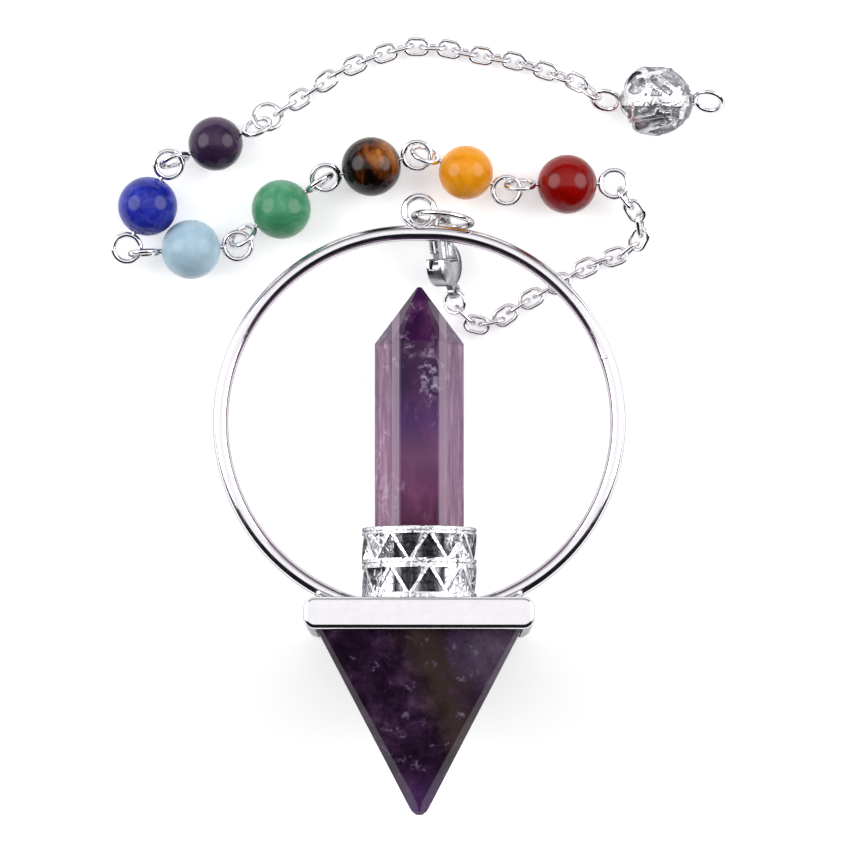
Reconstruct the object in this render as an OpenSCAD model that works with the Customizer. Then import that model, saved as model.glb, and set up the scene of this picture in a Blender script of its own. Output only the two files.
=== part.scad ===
// Dowsing pendulum pendant, laid down loosely on a flat surface.
// A six-sided stone point and a four-sided stone pyramid share one metal mount with a wide wire hoop.
// A lobster clasp on a jump ring ties it to a short chain with seven stone beads and a cast ball.
// The mount leans back on the clasp: X runs to its right, Y from the pyramid's tip to the hoop, Z up.

/* [Mount] */
// Width of the square plate
plate_w = 22.4; // [21:0.1:25]
// Thickness of the plate
plate_t = 3.15; // [2.9:0.05:4]
// Rounding of the plate's corners, seen from its front
plate_r = 1.1; // [0.7:0.05:1.3]
// Rounding of the plate's other edges
plate_edge_r = 0.5; // [0.4:0.05:0.7]
// Depth of the recess under the plate that holds the pyramid
recess_depth = 2.3; // [1.6:0.05:2.6]
// Outer diameter of the round collar
collar_d = 11.3; // [10.8:0.1:13]
// Height of the collar above the plate
collar_h = 7.2; // [6:0.1:10]
// Height of the plain rims at the collar's top, middle and foot
collar_rim = 0.55; // [0.4:0.05:0.8]
// Depth of the triangles cut into the collar
triangle_depth = 0.35; // [0.2:0.05:0.5]
// Triangles that point down in each of the collar's two rows
triangle_count = 9; // [6:1:10]
// Space between each stone and its setting
stone_clearance = 0.12; // [0.1:0.01:0.2]

/* [Hoop] */
// Diameter of the hoop's wire
hoop_wire_d = 1.53; // [1.3:0.01:1.7]
// Radius of the hoop's two bends, to the middle of the wire
hoop_bend_r = 18.75; // [18:0.05:18.9]
// Length of the short straights at the hoop's top and bottom
hoop_flat = 1.7; // [1:0.1:2.5]
// Distance from the middle of the plate to the middle of the wire at the hoop's top
hoop_reach = 38; // [37.8:0.05:38.2]
// Height of the middle of the wire at the hoop's top above the surface
hoop_rest = 4.9; // [4.8:0.05:5.2]
// Radius of the small hanging loop, to the middle of its wire
hanging_bend_r = 1.5; // [1.42:0.01:1.6]
// Diameter of the hanging loop's wire
hanging_wire_d = 0.64; // [0.56:0.01:0.66]

/* [Large stones] */
// Width of the six-sided point across its corners, before they are ground flat
point_d = 9.3; // [8.8:0.1:9.6]
// Height of the point's shoulders above the plate
point_shoulder = 25.4; // [22:0.1:26]
// Height of the point's sloping tip above its shoulders
point_tip = 5.65; // [4.5:0.05:6]
// Width of the flats ground on the point's corners
point_flat = 0.9; // [0.5:0.05:1.2]
// Width of the pyramid's base
pyramid_w = 19.8; // [18.8:0.1:20]
// Height of the pyramid below the plate
pyramid_h = 17.85; // [15:0.05:20]
// Width of the flats on the pyramid's edges at its base
pyramid_flat = 0.7; // [0.5:0.05:1]
// Width of the flats on the pyramid's edges near its tip
pyramid_tip_flat = 1.5; // [1:0.05:1.6]

/* [Beads] */
// Diameter of the larger stone beads
bead_d = 5.9; // [5.6:0.01:5.92]
// Diameter of the smaller stone beads
small_bead_d = 5.4; // [5.1:0.01:5.6]
// Diameter of the cast ball
ball_d = 7.36; // [7:0.02:7.6]
// Height of the ball's raised bars above its ground
ball_relief = 0.3; // [0.2:0.05:0.4]
// Distance between the ball's two drilled flats
ball_flat = 7; // [6.6:0.02:7.1]
// Radius of an eye pin's loops, to the middle of the wire
eye_bend_r = 1.35; // [1.3:0.01:1.4]
// Diameter of the eye pins' wire
eye_wire_d = 0.52; // [0.46:0.01:0.56]
// Space between an eye pin and the hole that it runs through
pin_clearance = 0.12; // [0.1:0.01:0.16]
// Space between an eye pin's loop and the end of its bead
eye_gap = 0.1; // [0.1:0.01:0.14]

/* [Chain and rings] */
// Length of a chain link
link_l = 2.8; // [2.7:0.01:2.9]
// Width of a chain link
link_w = 2; // [1.9:0.01:2.1]
// Diameter of the links' wire
link_wire_d = 0.42; // [0.38:0.01:0.43]
// Greatest distance between the middles of neighbouring links
link_pitch = 1.7; // [1.6:0.01:1.72]
// Radius of the jump ring, to the middle of its wire
jump_bend_r = 2.87; // [2.84:0.01:2.9]
// Diameter of the jump ring's wire
jump_wire_d = 0.58; // [0.5:0.01:0.6]
// Radius of the ring before the upper chain, to the middle of its wire
upper_bend_r = 1.4; // [1.35:0.01:1.5]
// Diameter of that ring's wire
upper_wire_d = 0.5; // [0.44:0.01:0.54]
// Radius of the ring in the clasp's tail, to the middle of its wire
tail_bend_r = 1.1; // [1.05:0.01:1.15]
// Diameter of that ring's wire
tail_wire_d = 0.4; // [0.34:0.01:0.44]

/* [Clasp] */
// Diameter of the clasp's round body
clasp_d = 4.2; // [4:0.05:4.4]
// Thickness of the body at its middle
clasp_t = 2.7; // [2.5:0.05:2.8]
// Thickness of the body at its rim
clasp_rim_t = 1.7; // [1.5:0.05:1.8]
// Radius of the hook's bend, to the middle of its bar
hook_bend_r = 1.3; // [1.25:0.01:1.35]
// Diameter of the hook's bar
hook_bar_d = 0.96; // [0.9:0.01:1]
// Distance from the middle of the body to the middle of the hook's bend
hook_reach = 3.7; // [3.65:0.01:3.75]
// Thickness of the lever's root
lever_t = 0.8; // [0.7:0.01:0.85]
// Diameter of the lever's bar at its tip
lever_tip_d = 0.76; // [0.7:0.01:0.8]
// Diameter of the rivet that the lever turns on
rivet_d = 0.6; // [0.5:0.01:0.64]
// Space around the lever's root and rivet
lever_clearance = 0.12; // [0.1:0.01:0.15]
// Outer diameter of the tail eye
tail_eye_d = 1.5; // [1.4:0.01:1.56]
// Diameter of the hole in the tail eye
tail_hole_d = 0.8; // [0.7:0.01:0.84]

/* [Hidden] */

METAL = "lightgray";
BRIGHT = "gainsboro";
PURPLE = "indigo";

// Every place below is measured from the point on the surface that lies under the hoop's top.

// The mount leans until the plate's rounded back edge and the hoop's top are both at their heights.
corner_y = plate_w / 2 - plate_edge_r;
corner_z = hoop_reach - plate_t / 2 + plate_edge_r;
lean = acos((hoop_rest - plate_edge_r) / norm([corner_y, corner_z])) - atan2(corner_z, corner_y);
mount_y = -hoop_reach * cos(lean);
mount_z = hoop_rest + hoop_reach * sin(lean);

// The point's ground corners are the widest part that its collar has to take.
corner_cut = point_flat / sqrt(3);
point_corner = norm([point_d / 2 - corner_cut / 2, point_flat / 2]);
bore_r = point_corner + stone_clearance;
hanging_z = hoop_reach + hoop_wire_d / 2 + hanging_bend_r - 0.1;

// The clasp lies on its hooked side, rolled about its own length.
clasp_xy = [2.45, -3.36];
clasp_turn = 5;
clasp_roll = 60;
clasp_z = clasp_d / 2 * sin(clasp_roll) + clasp_rim_t / 2 * cos(clasp_roll) + 0.03;
hook_z_end = 160;
pivot = [-0.95, -0.2];
hook_tip = [hook_bend_r * cos(hook_z_end), hook_reach + hook_bend_r * sin(hook_z_end)];
lever_tip = hook_tip - [0, hook_bar_d / 2 + 0.02 + lever_tip_d / 2 + lever_clearance];
lever_root_r = rivet_d / 2 + lever_clearance + 0.36;
tail_eye = [1.5, -2.75];

jump_place = [2.32, 1.34, 4.84];
jump_tilt = 73.8;
jump_turn = -7.2;

// The tail ring leaves the eye level, at right angles to the eye's own axis.
tail_place = clasp_point([tail_eye.x, tail_eye.y, 0]) + tail_bend_r * [sin(clasp_turn), -cos(clasp_turn), 0];
tail_ring_roll = 90 - clasp_roll;

upper_place = [-15.05, 11.38, 1.97];
upper_tilt = -29;
upper_turn = -3;

// Each bead's place and heading on the surface, and how far each of its pin's loops is rolled.
// name, colour, diameter, [x, y], heading, roll of the loop behind, roll of the loop ahead
BEADS = [
    ["red", "darkred", bead_d, [14.65, 4.73], 0.7, -75, -10],
    ["yellow", "goldenrod", small_bead_d, [4.62, 5.88], -23.7, -65, 0],
    ["tiger", "saddlebrown", bead_d, [-4.76, 6.49], 13.8, 19, 1],
    ["green", "seagreen", bead_d, [-13.69, 2.25], 34.7, -62, 80],
    ["pale_blue", "lightblue", bead_d, [-22.67, -1.74], 4.3, 80, 0],
    ["lapis", "mediumblue", bead_d, [-26.93, 2.55], 63.4, 0, 10],
    ["amethyst", "indigo", small_bead_d, [-20.19, 8.75], 22.2, 70, -63]
];

// The ball's pin slopes, with the loop that holds the chain lower.
ball_xy = [23.52, 13.04];
ball_slope = 15;
ball_roll = 45;

// The chains' routes over the surface, between the rings and loops that hold their ends
UPPER_ROUTE = [
    [-10.8, 13.8], [-8, 15.8], [-4.8, 17.2], [-1.3, 18.3], [2.2, 18.2],
    [5.6, 17.5], [9.3, 16.9], [12.8, 15.8], [15.9, 14.7]
];
LOWER_ROUTE = [
    [5.6, -9.4], [7.8, -9], [10.2, -7.3], [13.3, -5.6], [16.3, -3.8],
    [18.6, -2.9], [20.6, -2.2], [22, -0.6], [21.9, 1.2], [20.9, 2.8]
];
// How far each chain's first and last links lean about their own length
UPPER_LEAN = [-5, 25];
LOWER_LEAN = [5, -22];
link_rest = link_w / 2 + 0.05;
// Play between an end link and the wire that it hangs from
link_play = 0.2;
// Rise of a chain per length where it comes up to a ring
climb = 0.3;

// Distance from a bead's middle to the middle of each of its pin's loops
function eye_reach(half) = half + eye_gap + eye_bend_r + eye_wire_d / 2;

// A bead by its name
function bead_of(name) = [for (b = BEADS) if (b[0] == name) b][0];

// The middle of a bead's pin loop, ahead (side 1) or behind (side -1)
function eye_place(b, side) =
    let (reach = side * eye_reach(b[2] / 2))
    [b[3].x + reach * cos(b[4]), b[3].y + reach * sin(b[4]), b[2] / 2];

// The direction square to a flat ring that is tilted about X and then turned about Z
function ring_normal(turn, tilt) = [sin(turn) * sin(tilt), -cos(turn) * sin(tilt), cos(tilt)];

// The middle of one of the ball's two loops
function ball_eye(side) =
    let (reach = side * eye_reach(ball_flat / 2))
    [ball_xy.x + reach * cos(ball_slope), ball_xy.y, ball_d / 2 + reach * sin(ball_slope)];

// A point given in the clasp's own frame, in the common frame
function clasp_point(p) =
    let (x = p.x * cos(clasp_roll) + p.z * sin(clasp_roll))
    [
        clasp_xy.x + x * cos(clasp_turn) - p.y * sin(clasp_turn),
        clasp_xy.y + x * sin(clasp_turn) + p.y * cos(clasp_turn),
        clasp_z - p.x * sin(clasp_roll) + p.z * cos(clasp_roll)
    ];

// The object's middle, from the parts that reach furthest to each side
lapis_eye = eye_place(bead_of("lapis"), -1);
ball_eye_half = eye_bend_r * sqrt(1 - pow(cos(ball_roll) * sin(ball_slope), 2)) + eye_wire_d / 2;
left_end = lapis_eye.x - eye_bend_r - eye_wire_d / 2;
right_end = ball_eye(1).x + ball_eye_half;
front_end = mount_y - (plate_t / 2 + pyramid_h) * cos(lean);
back_end = 18.3 + link_w / 2;
middle = [(left_end + right_end) / 2, (front_end + back_end) / 2, 0];

// Points of a round arc in equal steps
function arc(centre, r, from, to, steps) =
    [for (i = [0:steps]) let (a = from + (to - from) * i / steps) centre + r * [cos(a), sin(a)]];

// Outline of a rectangle with round corners
function round_box(w, h, r, steps) =
    concat(
        arc([w / 2 - r, h / 2 - r], r, 0, 90, steps),
        arc([r - w / 2, h / 2 - r], r, 90, 180, steps),
        arc([r - w / 2, r - h / 2], r, 180, 270, steps),
        arc([w / 2 - r, r - h / 2], r, 270, 360, steps)
    );

// Outline of a square whose corners are cut by flats of the given width
function cut_square(w, flat) =
    let (h = w / 2, c = min(flat / sqrt(2), h * 0.9))
    [[h, c - h], [h, h - c], [h - c, h], [c - h, h], [-h, h - c], [-h, c - h], [c - h, -h], [h - c, -h]];

// Outline of a hexagon with a flat side toward -Y and corners cut by flats of the given width
function cut_hexagon(r, flat) =
    let (c = flat / sqrt(3) / r)
    [
        for (i = [0:5], step = [-1, 1])
        let (
            corner = r * [cos(60 * i), sin(60 * i)],
            next = r * [cos(60 * (i + step)), sin(60 * (i + step))]
        )
        corner + (next - corner) * c
    ];

// A closed solid through a stack of outlines [z, points], which all have as many points
module stack(layers) {
    n = len(layers[0][1]);
    last = len(layers) - 1;
    points = [for (l = layers, p = l[1]) [p.x, p.y, l[0]]];
    walls = [
        for (k = [0:last - 1], i = [0:n - 1])
        let (a = k * n + i, b = k * n + (i + 1) % n)
        [a, a + n, b + n, b]
    ];
    polyhedron(points, concat(walls, [[for (i = [0:n - 1]) i]], [[for (i = [n - 1:-1:0]) last * n + i]]));
}

// A round wire ring that lies flat
module wire_ring(bend_r, wire_d) {
    rotate_extrude($fn = 72) translate([bend_r, 0]) circle(d = wire_d, $fn = 20);
}

// A flat wire oval: two half rings with straights between them
module wire_oval(bend_r, straight, wire_d, steps) {
    for (side = [0, 180]) rotate([0, 0, side]) {
        translate([straight / 2, 0, 0])
            rotate([0, 0, -90])
            rotate_extrude(angle = 180, $fn = steps) translate([bend_r, 0]) circle(d = wire_d, $fn = 16);
        translate([-straight / 2, bend_r, 0]) rotate([0, 90, 0]) cylinder(d = wire_d, h = straight, $fn = 16);
    }
}

// Moves a piece of the mount from its own frame, with the plate in the middle, to where it lies
module on_mount() {
    translate([0, mount_y, mount_z] - middle) rotate([-90 - lean, 0, 0]) children();
}

// Moves a piece of the clasp from its own frame to where it lies
module on_clasp() {
    translate([clasp_xy.x, clasp_xy.y, clasp_z] - middle) rotate([0, clasp_roll, clasp_turn]) children();
}

// The plate with all its edges rounded
module plate() {
    intersection() {
        linear_extrude(plate_t * 2, center = true) polygon(round_box(plate_w, plate_w, plate_edge_r, 5));
        rotate([90, 0, 0])
            linear_extrude(plate_w * 2, center = true) polygon(round_box(plate_w, plate_t, plate_r, 5));
        rotate([90, 0, 90])
            linear_extrude(plate_w * 2, center = true) polygon(round_box(plate_w, plate_t, plate_edge_r, 5));
    }
}

// One triangular pocket in the collar's wall, pointing up (side 1) or down (side -1)
module pocket(width, height, side) {
    rotate([90, 0, 90])
        translate([0, 0, collar_d / 2 - triangle_depth])
        linear_extrude(1)
        polygon([[-width / 2, -side * height / 2], [width / 2, -side * height / 2], [0, side * height / 2]]);
}

module collar_pockets() {
    row_h = (collar_h - 3 * collar_rim) / 2;
    step = 180 / triangle_count;
    width = 1.64 * PI * collar_d / 2 * step / 180;
    for (row = [0, 1], i = [0:2 * triangle_count - 1]) {
        translate([0, 0, plate_t / 2 + collar_rim + row_h / 2 + row * (row_h + collar_rim)])
            rotate([0, 0, (i + 0.5) * step - 90])
            pocket(width, row_h * 0.88, i % 2 == 0 ? 1 : -1);
    }
}

module setting() {
    color(METAL) on_mount() difference() {
        union() {
            plate();
            translate([0, 0, hoop_reach - hoop_bend_r])
                rotate([90, 0, 0])
                wire_oval(hoop_bend_r, hoop_flat, hoop_wire_d, 144);
            cylinder(d = collar_d, h = plate_t / 2 + collar_h, $fn = 72);
            translate([0, 0, hanging_z]) rotate([90, 0, 0]) wire_ring(hanging_bend_r, hanging_wire_d);
        }
        translate([0, 0, plate_t / 2]) cylinder(r = bore_r, h = collar_h + 1, $fn = 72);
        translate([0, 0, recess_depth - plate_t / 2 - 5])
            linear_extrude(5)
            square(pyramid_w + 2 * stone_clearance, center = true);
        collar_pockets();
    }
}

module hex_point() {
    foot = plate_t / 2 + stone_clearance;
    shoulder = plate_t / 2 + point_shoulder;
    tip_share = 0.05;
    color(PURPLE) on_mount() stack([
        [foot, cut_hexagon(point_d / 2, point_flat)],
        [shoulder, cut_hexagon(point_d / 2, point_flat)],
        [shoulder + point_tip, cut_hexagon(point_d / 2 * tip_share, point_flat * tip_share)]
    ]);
}

module pyramid() {
    // height below the plate and width, each as a share, down to the blunt tip
    levels = [[0, 1], [0.35, 0.67], [0.7, 0.34], [0.93, 0.125], [0.98, 0.075], [1, 0.03]];
    color(PURPLE) on_mount() rotate([180, 0, 0]) stack(concat(
        [
            [plate_t / 2 - recess_depth + stone_clearance, cut_square(pyramid_w - 0.5, pyramid_flat)],
            [plate_t / 2 - recess_depth + stone_clearance + 0.25, cut_square(pyramid_w, pyramid_flat)]
        ],
        [
            for (v = levels)
            [
                plate_t / 2 + pyramid_h * v[0],
                cut_square(pyramid_w * v[1], pyramid_tip_flat + (pyramid_flat - pyramid_tip_flat) * v[1])
            ]
        ]
    ));
}

module jump_ring() {
    color(BRIGHT) translate(jump_place - middle)
        rotate([jump_tilt, 0, jump_turn])
        wire_ring(jump_bend_r, jump_wire_d);
}

// The clasp's lens-shaped body, before its mouth is cut
module clasp_lens() {
    rise = (clasp_t - clasp_rim_t) / 2;
    bulge_r = (pow(clasp_d / 2, 2) + rise * rise) / (2 * rise);
    intersection() {
        cylinder(d = clasp_d, h = 2 * clasp_t, center = true, $fn = 64);
        translate([0, 0, clasp_t / 2 - bulge_r]) sphere(r = bulge_r, $fn = 96);
        translate([0, 0, bulge_r - clasp_t / 2]) sphere(r = bulge_r, $fn = 96);
    }
}

module clasp_body() {
    mouth_w = 2 * (hook_bend_r - hook_bar_d / 2) + 0.06;
    slot_t = lever_t + 2 * lever_clearance;
    neck_w = 1.1;
    color(METAL) on_clasp() difference() {
        union() {
            difference() {
                clasp_lens();
                translate([-mouth_w / 2, 0.35, -clasp_t]) cube([mouth_w, clasp_d, 2 * clasp_t]);
                translate([-clasp_d, 0.75, -clasp_t]) cube([clasp_d, clasp_d, 2 * clasp_t]);
                translate([pivot.x, pivot.y, 0])
                    cylinder(r = lever_root_r + lever_clearance, h = slot_t, center = true, $fn = 48);
                translate([pivot.x - clasp_d, pivot.y, -slot_t / 2]) cube([clasp_d + 0.7, clasp_d, slot_t]);
            }
            translate([pivot.x, pivot.y, 0]) cylinder(d = rivet_d, h = slot_t + 0.4, center = true, $fn = 32);
            translate([hook_bend_r, 0.3, 0])
                rotate([-90, 0, 0])
                cylinder(d = hook_bar_d, h = hook_reach - 0.3, $fn = 32);
            translate([0, hook_reach, 0])
                rotate_extrude(angle = hook_z_end, $fn = 64) translate([hook_bend_r, 0]) circle(d = hook_bar_d, $fn = 32);
            translate([hook_tip.x, hook_tip.y, 0]) sphere(d = hook_bar_d + 0.04, $fn = 32);
            rotate([0, 0, atan2(tail_eye.y, tail_eye.x)])
                translate([clasp_d / 4, -neck_w / 2, -0.35])
                cube([norm(tail_eye) - clasp_d / 4, neck_w, 0.7]);
            translate([tail_eye.x, tail_eye.y, 0]) cylinder(d = tail_eye_d, h = 0.7, center = true, $fn = 48);
        }
        translate([tail_eye.x, tail_eye.y, 0]) cylinder(d = tail_hole_d, h = 3, center = true, $fn = 40);
    }
}

module clasp_lever() {
    reach = norm(lever_tip - pivot);
    bar_w = 0.7;
    nub_off = 0.78;
    color(BRIGHT) on_clasp() difference() {
        translate([pivot.x, pivot.y, 0]) union() {
            cylinder(r = lever_root_r, h = lever_t, center = true, $fn = 48);
            rotate([0, 0, atan2(lever_tip.y - pivot.y, lever_tip.x - pivot.x)]) {
                translate([0, -bar_w / 2, -lever_t / 2 + 0.03]) cube([reach, bar_w, lever_t - 0.06]);
                translate([reach, 0, 0]) sphere(d = lever_tip_d, $fn = 32);
                translate([reach * 0.48, nub_off, 0])
                    rotate([0, 90, 0])
                    cylinder(d = 0.6, h = reach * 0.4, $fn = 24);
                translate([reach * 0.5, 0, -0.26]) cube([0.42, nub_off, 0.52]);
            }
        }
        translate([pivot.x, pivot.y, 0])
            cylinder(d = rivet_d + 2 * lever_clearance, h = 3, center = true, $fn = 40);
    }
}

module tail_ring() {
    color(BRIGHT) translate(tail_place - middle)
        rotate([0, 0, clasp_turn])
        rotate([0, -tail_ring_roll, 0])
        wire_ring(tail_bend_r, tail_wire_d);
}

module upper_ring() {
    color(BRIGHT) translate(upper_place - middle)
        rotate([0, 0, upper_turn])
        rotate([upper_tilt, 0, 0])
        wire_ring(upper_bend_r, upper_wire_d);
}

// Length of a route up to its point number i
function run_to(p, i) = i == 0 ? 0 : run_to(p, i - 1) + norm(p[i] - p[i - 1]);

// The point at a given length along a route
function at_length(p, s, i = 1) =
    let (step = norm(p[i] - p[i - 1]))
    s <= step || i == len(p) - 1
        ? p[i - 1] + (p[i] - p[i - 1]) * s / step
        : at_length(p, s - step, i + 1);

// The point of a ring's wire that lies furthest toward a point of the route.
// A ring is given as [middle, normal, radius, wire diameter].
function hang(ring, toward) =
    let (
        flat = [toward.x - ring[0].x, toward.y - ring[0].y, 0],
        level = flat / norm(flat),
        lying = level - (level * ring[1]) * ring[1]
    )
    ring[0] + lying / norm(lying) * ring[2];

// Distance from a ring's wire to the middle of the link that hangs from it
function held(ring) = link_l / 2 - link_wire_d - ring[3] / 2 - link_play;

// The middle of a chain's end link, seen from above
function end_point(ring, toward) =
    let (wire = hang(ring, toward), flat = [toward.x - wire.x, toward.y - wire.y])
    [wire.x, wire.y] + flat / norm(flat) * held(ring);

// One link
module link() {
    wire_oval((link_w - link_wire_d) / 2, link_l - link_w, link_wire_d, 32);
}

// A run of links that are upright and flat by turns, from one ring to another, with an upright link at each end
module chain(route, first, last, leans) {
    end = len(route) - 1;
    path = concat([end_point(first, route[0])], route, [end_point(last, route[end])]);
    run = run_to(path, len(path) - 1);
    count = 2 * ceil(run / link_pitch / 2) + 1;
    pitch = run / (count - 1);
    z_first = hang(first, route[0]).z - held(first) * climb;
    z_last = hang(last, route[end]).z - held(last) * climb;
    spots = [
        for (i = [-0.5:0.5:count - 0.5])
        let (s = i * pitch, p = at_length(path, s))
        [p.x, p.y, max(link_rest, z_first - s * climb, z_last - (run - s) * climb)]
    ];
    for (i = [0:count - 1]) {
        d = spots[2 * i + 2] - spots[2 * i];
        lean_here = leans[0] + (leans[1] - leans[0]) * i / (count - 1);
        translate(spots[2 * i + 1] - middle)
            rotate([0, -atan2(d.z, norm([d.x, d.y])), atan2(d.y, d.x)])
            rotate([lean_here + (i % 2 == 0 ? 90 : 0), 0, 0])
            link();
    }
}

module upper_chain() {
    ball_normal = [-sin(ball_slope) * cos(ball_roll), -sin(ball_roll), cos(ball_slope) * cos(ball_roll)];
    color(METAL) chain(
        UPPER_ROUTE,
        [upper_place, ring_normal(upper_turn, upper_tilt), upper_bend_r, upper_wire_d],
        [ball_eye(-1), ball_normal, eye_bend_r, eye_wire_d],
        UPPER_LEAN
    );
}

module lower_chain() {
    red = bead_of("red");
    tail_normal = [
        -sin(tail_ring_roll) * cos(clasp_turn),
        -sin(tail_ring_roll) * sin(clasp_turn),
        cos(tail_ring_roll)
    ];
    color(METAL) chain(
        LOWER_ROUTE,
        [tail_place, tail_normal, tail_bend_r, tail_wire_d],
        [eye_place(red, 1), ring_normal(red[4], red[6]), eye_bend_r, eye_wire_d],
        LOWER_LEAN
    );
}

// A wire along X with a loop at each end
module eye_pin(half, roll_behind, roll_ahead) {
    reach = eye_reach(half);
    straight = reach - eye_bend_r;
    rotate([0, 90, 0]) cylinder(d = eye_wire_d, h = 2 * straight, center = true, $fn = 20);
    translate([-reach, 0, 0]) rotate([roll_behind, 0, 0]) wire_ring(eye_bend_r, eye_wire_d);
    translate([reach, 0, 0]) rotate([roll_ahead, 0, 0]) wire_ring(eye_bend_r, eye_wire_d);
}

// The drilled hole that a pin runs through
module pin_hole() {
    rotate([0, 90, 0]) cylinder(d = eye_wire_d + 2 * pin_clearance, h = 20, center = true, $fn = 32);
}

// A ball whose poles lie where its pin runs through
module round_ball(d) {
    rotate([0, 90, 0]) sphere(d = d, $fn = 72);
}

// Moves a bead or its pin to the bead's place and heading
module at_bead(b) {
    translate([b[3].x, b[3].y, b[2] / 2] - middle) rotate([0, 0, b[4]]) children();
}

module bead(name) {
    b = bead_of(name);
    color(b[1]) at_bead(b) difference() {
        round_ball(b[2]);
        pin_hole();
    }
}

module bead_pin(name) {
    b = bead_of(name);
    color(BRIGHT) at_bead(b) eye_pin(b[2] / 2, b[5], b[6]);
}

module at_ball() {
    translate([ball_xy.x, ball_xy.y, ball_d / 2] - middle) rotate([0, -ball_slope, 0]) children();
}

// The straight and curved bars that stand out from the ball's ground, on both of its faces
module ball_bars() {
    half = ball_d / 2;
    // place in ball radii, angle, length and width of each straight bar
    bars = [
        [[0, 0.02], 0, 2.4, 0.3], [[0.42, 0.5], -38, 0.95, 0.11], [[0.2, 0.36], -38, 1.1, 0.09],
        [[0.62, 0.2], 60, 0.5, 0.1], [[-0.05, -0.42], 10, 1.25, 0.12], [[0.1, -0.68], 18, 1.1, 0.11],
        [[-0.5, -0.45], 80, 0.7, 0.1], [[0.45, -0.45], -52, 0.5, 0.1], [[-0.05, 0.74], 14, 0.8, 0.1],
        [[-0.74, 0.3], 48, 0.5, 0.1], [[0.8, -0.28], 72, 0.4, 0.1], [[-0.25, -0.85], -12, 0.6, 0.09],
        [[-0.8, -0.28], -35, 0.4, 0.1], [[0.2, -0.27], 62, 0.32, 0.1], [[0.02, 0.3], 70, 0.4, 0.09]
    ];
    for (b = bars)
        translate([b[0].x, b[0].y, 0] * half)
            rotate([0, 0, b[1]])
            cube([b[2] * half, b[3] * half, 2 * ball_d], center = true);
    translate([-0.42, 0.5, 0] * half) difference() {
        cylinder(r = 0.42 * half, h = 2 * ball_d, center = true, $fn = 40);
        cylinder(r = 0.3 * half, h = 3 * ball_d, center = true, $fn = 40);
    }
}

module ball() {
    color(METAL) at_ball() difference() {
        union() {
            round_ball(ball_d - 2 * ball_relief);
            intersection() {
                round_ball(ball_d);
                ball_bars();
            }
        }
        pin_hole();
        for (side = [-1, 1])
            translate([side * (ball_flat / 2 + 2), 0, 0]) cube([4, ball_d, ball_d], center = true);
    }
}

module ball_pin() {
    color(BRIGHT) at_ball() eye_pin(ball_flat / 2, ball_roll, ball_roll);
}

setting();
hex_point();
pyramid();
jump_ring();
clasp_body();
clasp_lever();
tail_ring();
lower_chain();
upper_chain();
upper_ring();
ball();
ball_pin();
for (b = BEADS) {
    bead(b[0]);
    bead_pin(b[0]);
}
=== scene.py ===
"""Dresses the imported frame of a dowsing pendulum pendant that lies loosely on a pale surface.

Sizes are in millimetres and are named as in the part's source. X runs to the mount's right, Y from the
pyramid's tip to the hoop, and Z up. A piece is made in its own place, or in the frame of the mount,
clasp or bead that carries it, and is then set down in the shared frame in metres.
"""
import logging
import math
from dataclasses import dataclass
from enum import Enum

import bmesh
import bpy
from mathutils import Euler, Matrix, Vector


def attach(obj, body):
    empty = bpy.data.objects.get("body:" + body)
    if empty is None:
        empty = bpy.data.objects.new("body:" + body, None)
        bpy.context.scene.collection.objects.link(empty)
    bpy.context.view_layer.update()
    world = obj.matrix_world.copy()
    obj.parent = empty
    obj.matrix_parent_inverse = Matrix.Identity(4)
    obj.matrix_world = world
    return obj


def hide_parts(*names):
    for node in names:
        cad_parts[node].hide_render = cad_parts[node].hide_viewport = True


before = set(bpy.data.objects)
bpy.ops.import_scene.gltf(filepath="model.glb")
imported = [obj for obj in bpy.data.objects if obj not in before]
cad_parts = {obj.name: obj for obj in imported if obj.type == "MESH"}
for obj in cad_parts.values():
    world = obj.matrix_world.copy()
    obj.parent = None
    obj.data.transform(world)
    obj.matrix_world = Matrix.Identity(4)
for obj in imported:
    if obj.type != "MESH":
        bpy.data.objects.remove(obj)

log = logging.getLogger("pendant")

MM = 0.001
PENDANT = "pendant"
LEVER = "lever"
# The object's middle on the surface, from which the shared frame is measured
MIDDLE = Vector((-0.243442, -18.661386, 0.0))

# The two ends that a value runs between, a place or direction, and an outline's points
Range = tuple[float, float]
Spot = tuple[float, float, float]
Outline = list[tuple[float, float]]


def sin_d(degrees: float) -> float:
    """Sine of an angle in degrees."""
    return math.sin(math.radians(degrees))


def cos_d(degrees: float) -> float:
    """Cosine of an angle in degrees."""
    return math.cos(math.radians(degrees))


def turned(x: float = 0.0, y: float = 0.0, z: float = 0.0) -> Matrix:
    """A turn about X, then Y, then Z, in degrees."""
    return Euler((math.radians(x), math.radians(y), math.radians(z)), "XYZ").to_matrix().to_4x4()


def set_down(x: float, y: float, z: float, turn: Matrix | None = None) -> Matrix:
    """The place of a piece made in millimetres.

    Args:
        x, y, z: where its own middle lies, measured from the floor point under the hoop's top
        turn: how it is turned there

    Returns:
        The matrix from the piece's own millimetres to the shared frame's metres.
    """
    spot = Matrix.Translation(Vector((x, y, z)) - MIDDLE)
    return Matrix.Scale(MM, 4) @ spot @ (turn or Matrix.Identity(4))


FRAME = set_down(0, 0, 0)


def linear(hex_colour: str) -> tuple[float, float, float, float]:
    """Turns an sRGB hex colour to the linear values that a shader takes."""
    parts = [int(hex_colour[i:i + 2], 16) / 255 for i in (1, 3, 5)]
    return tuple(c / 12.92 if c <= 0.04045 else ((c + 0.055) / 1.055) ** 2.4 for c in parts) + (1.0,)


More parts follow.
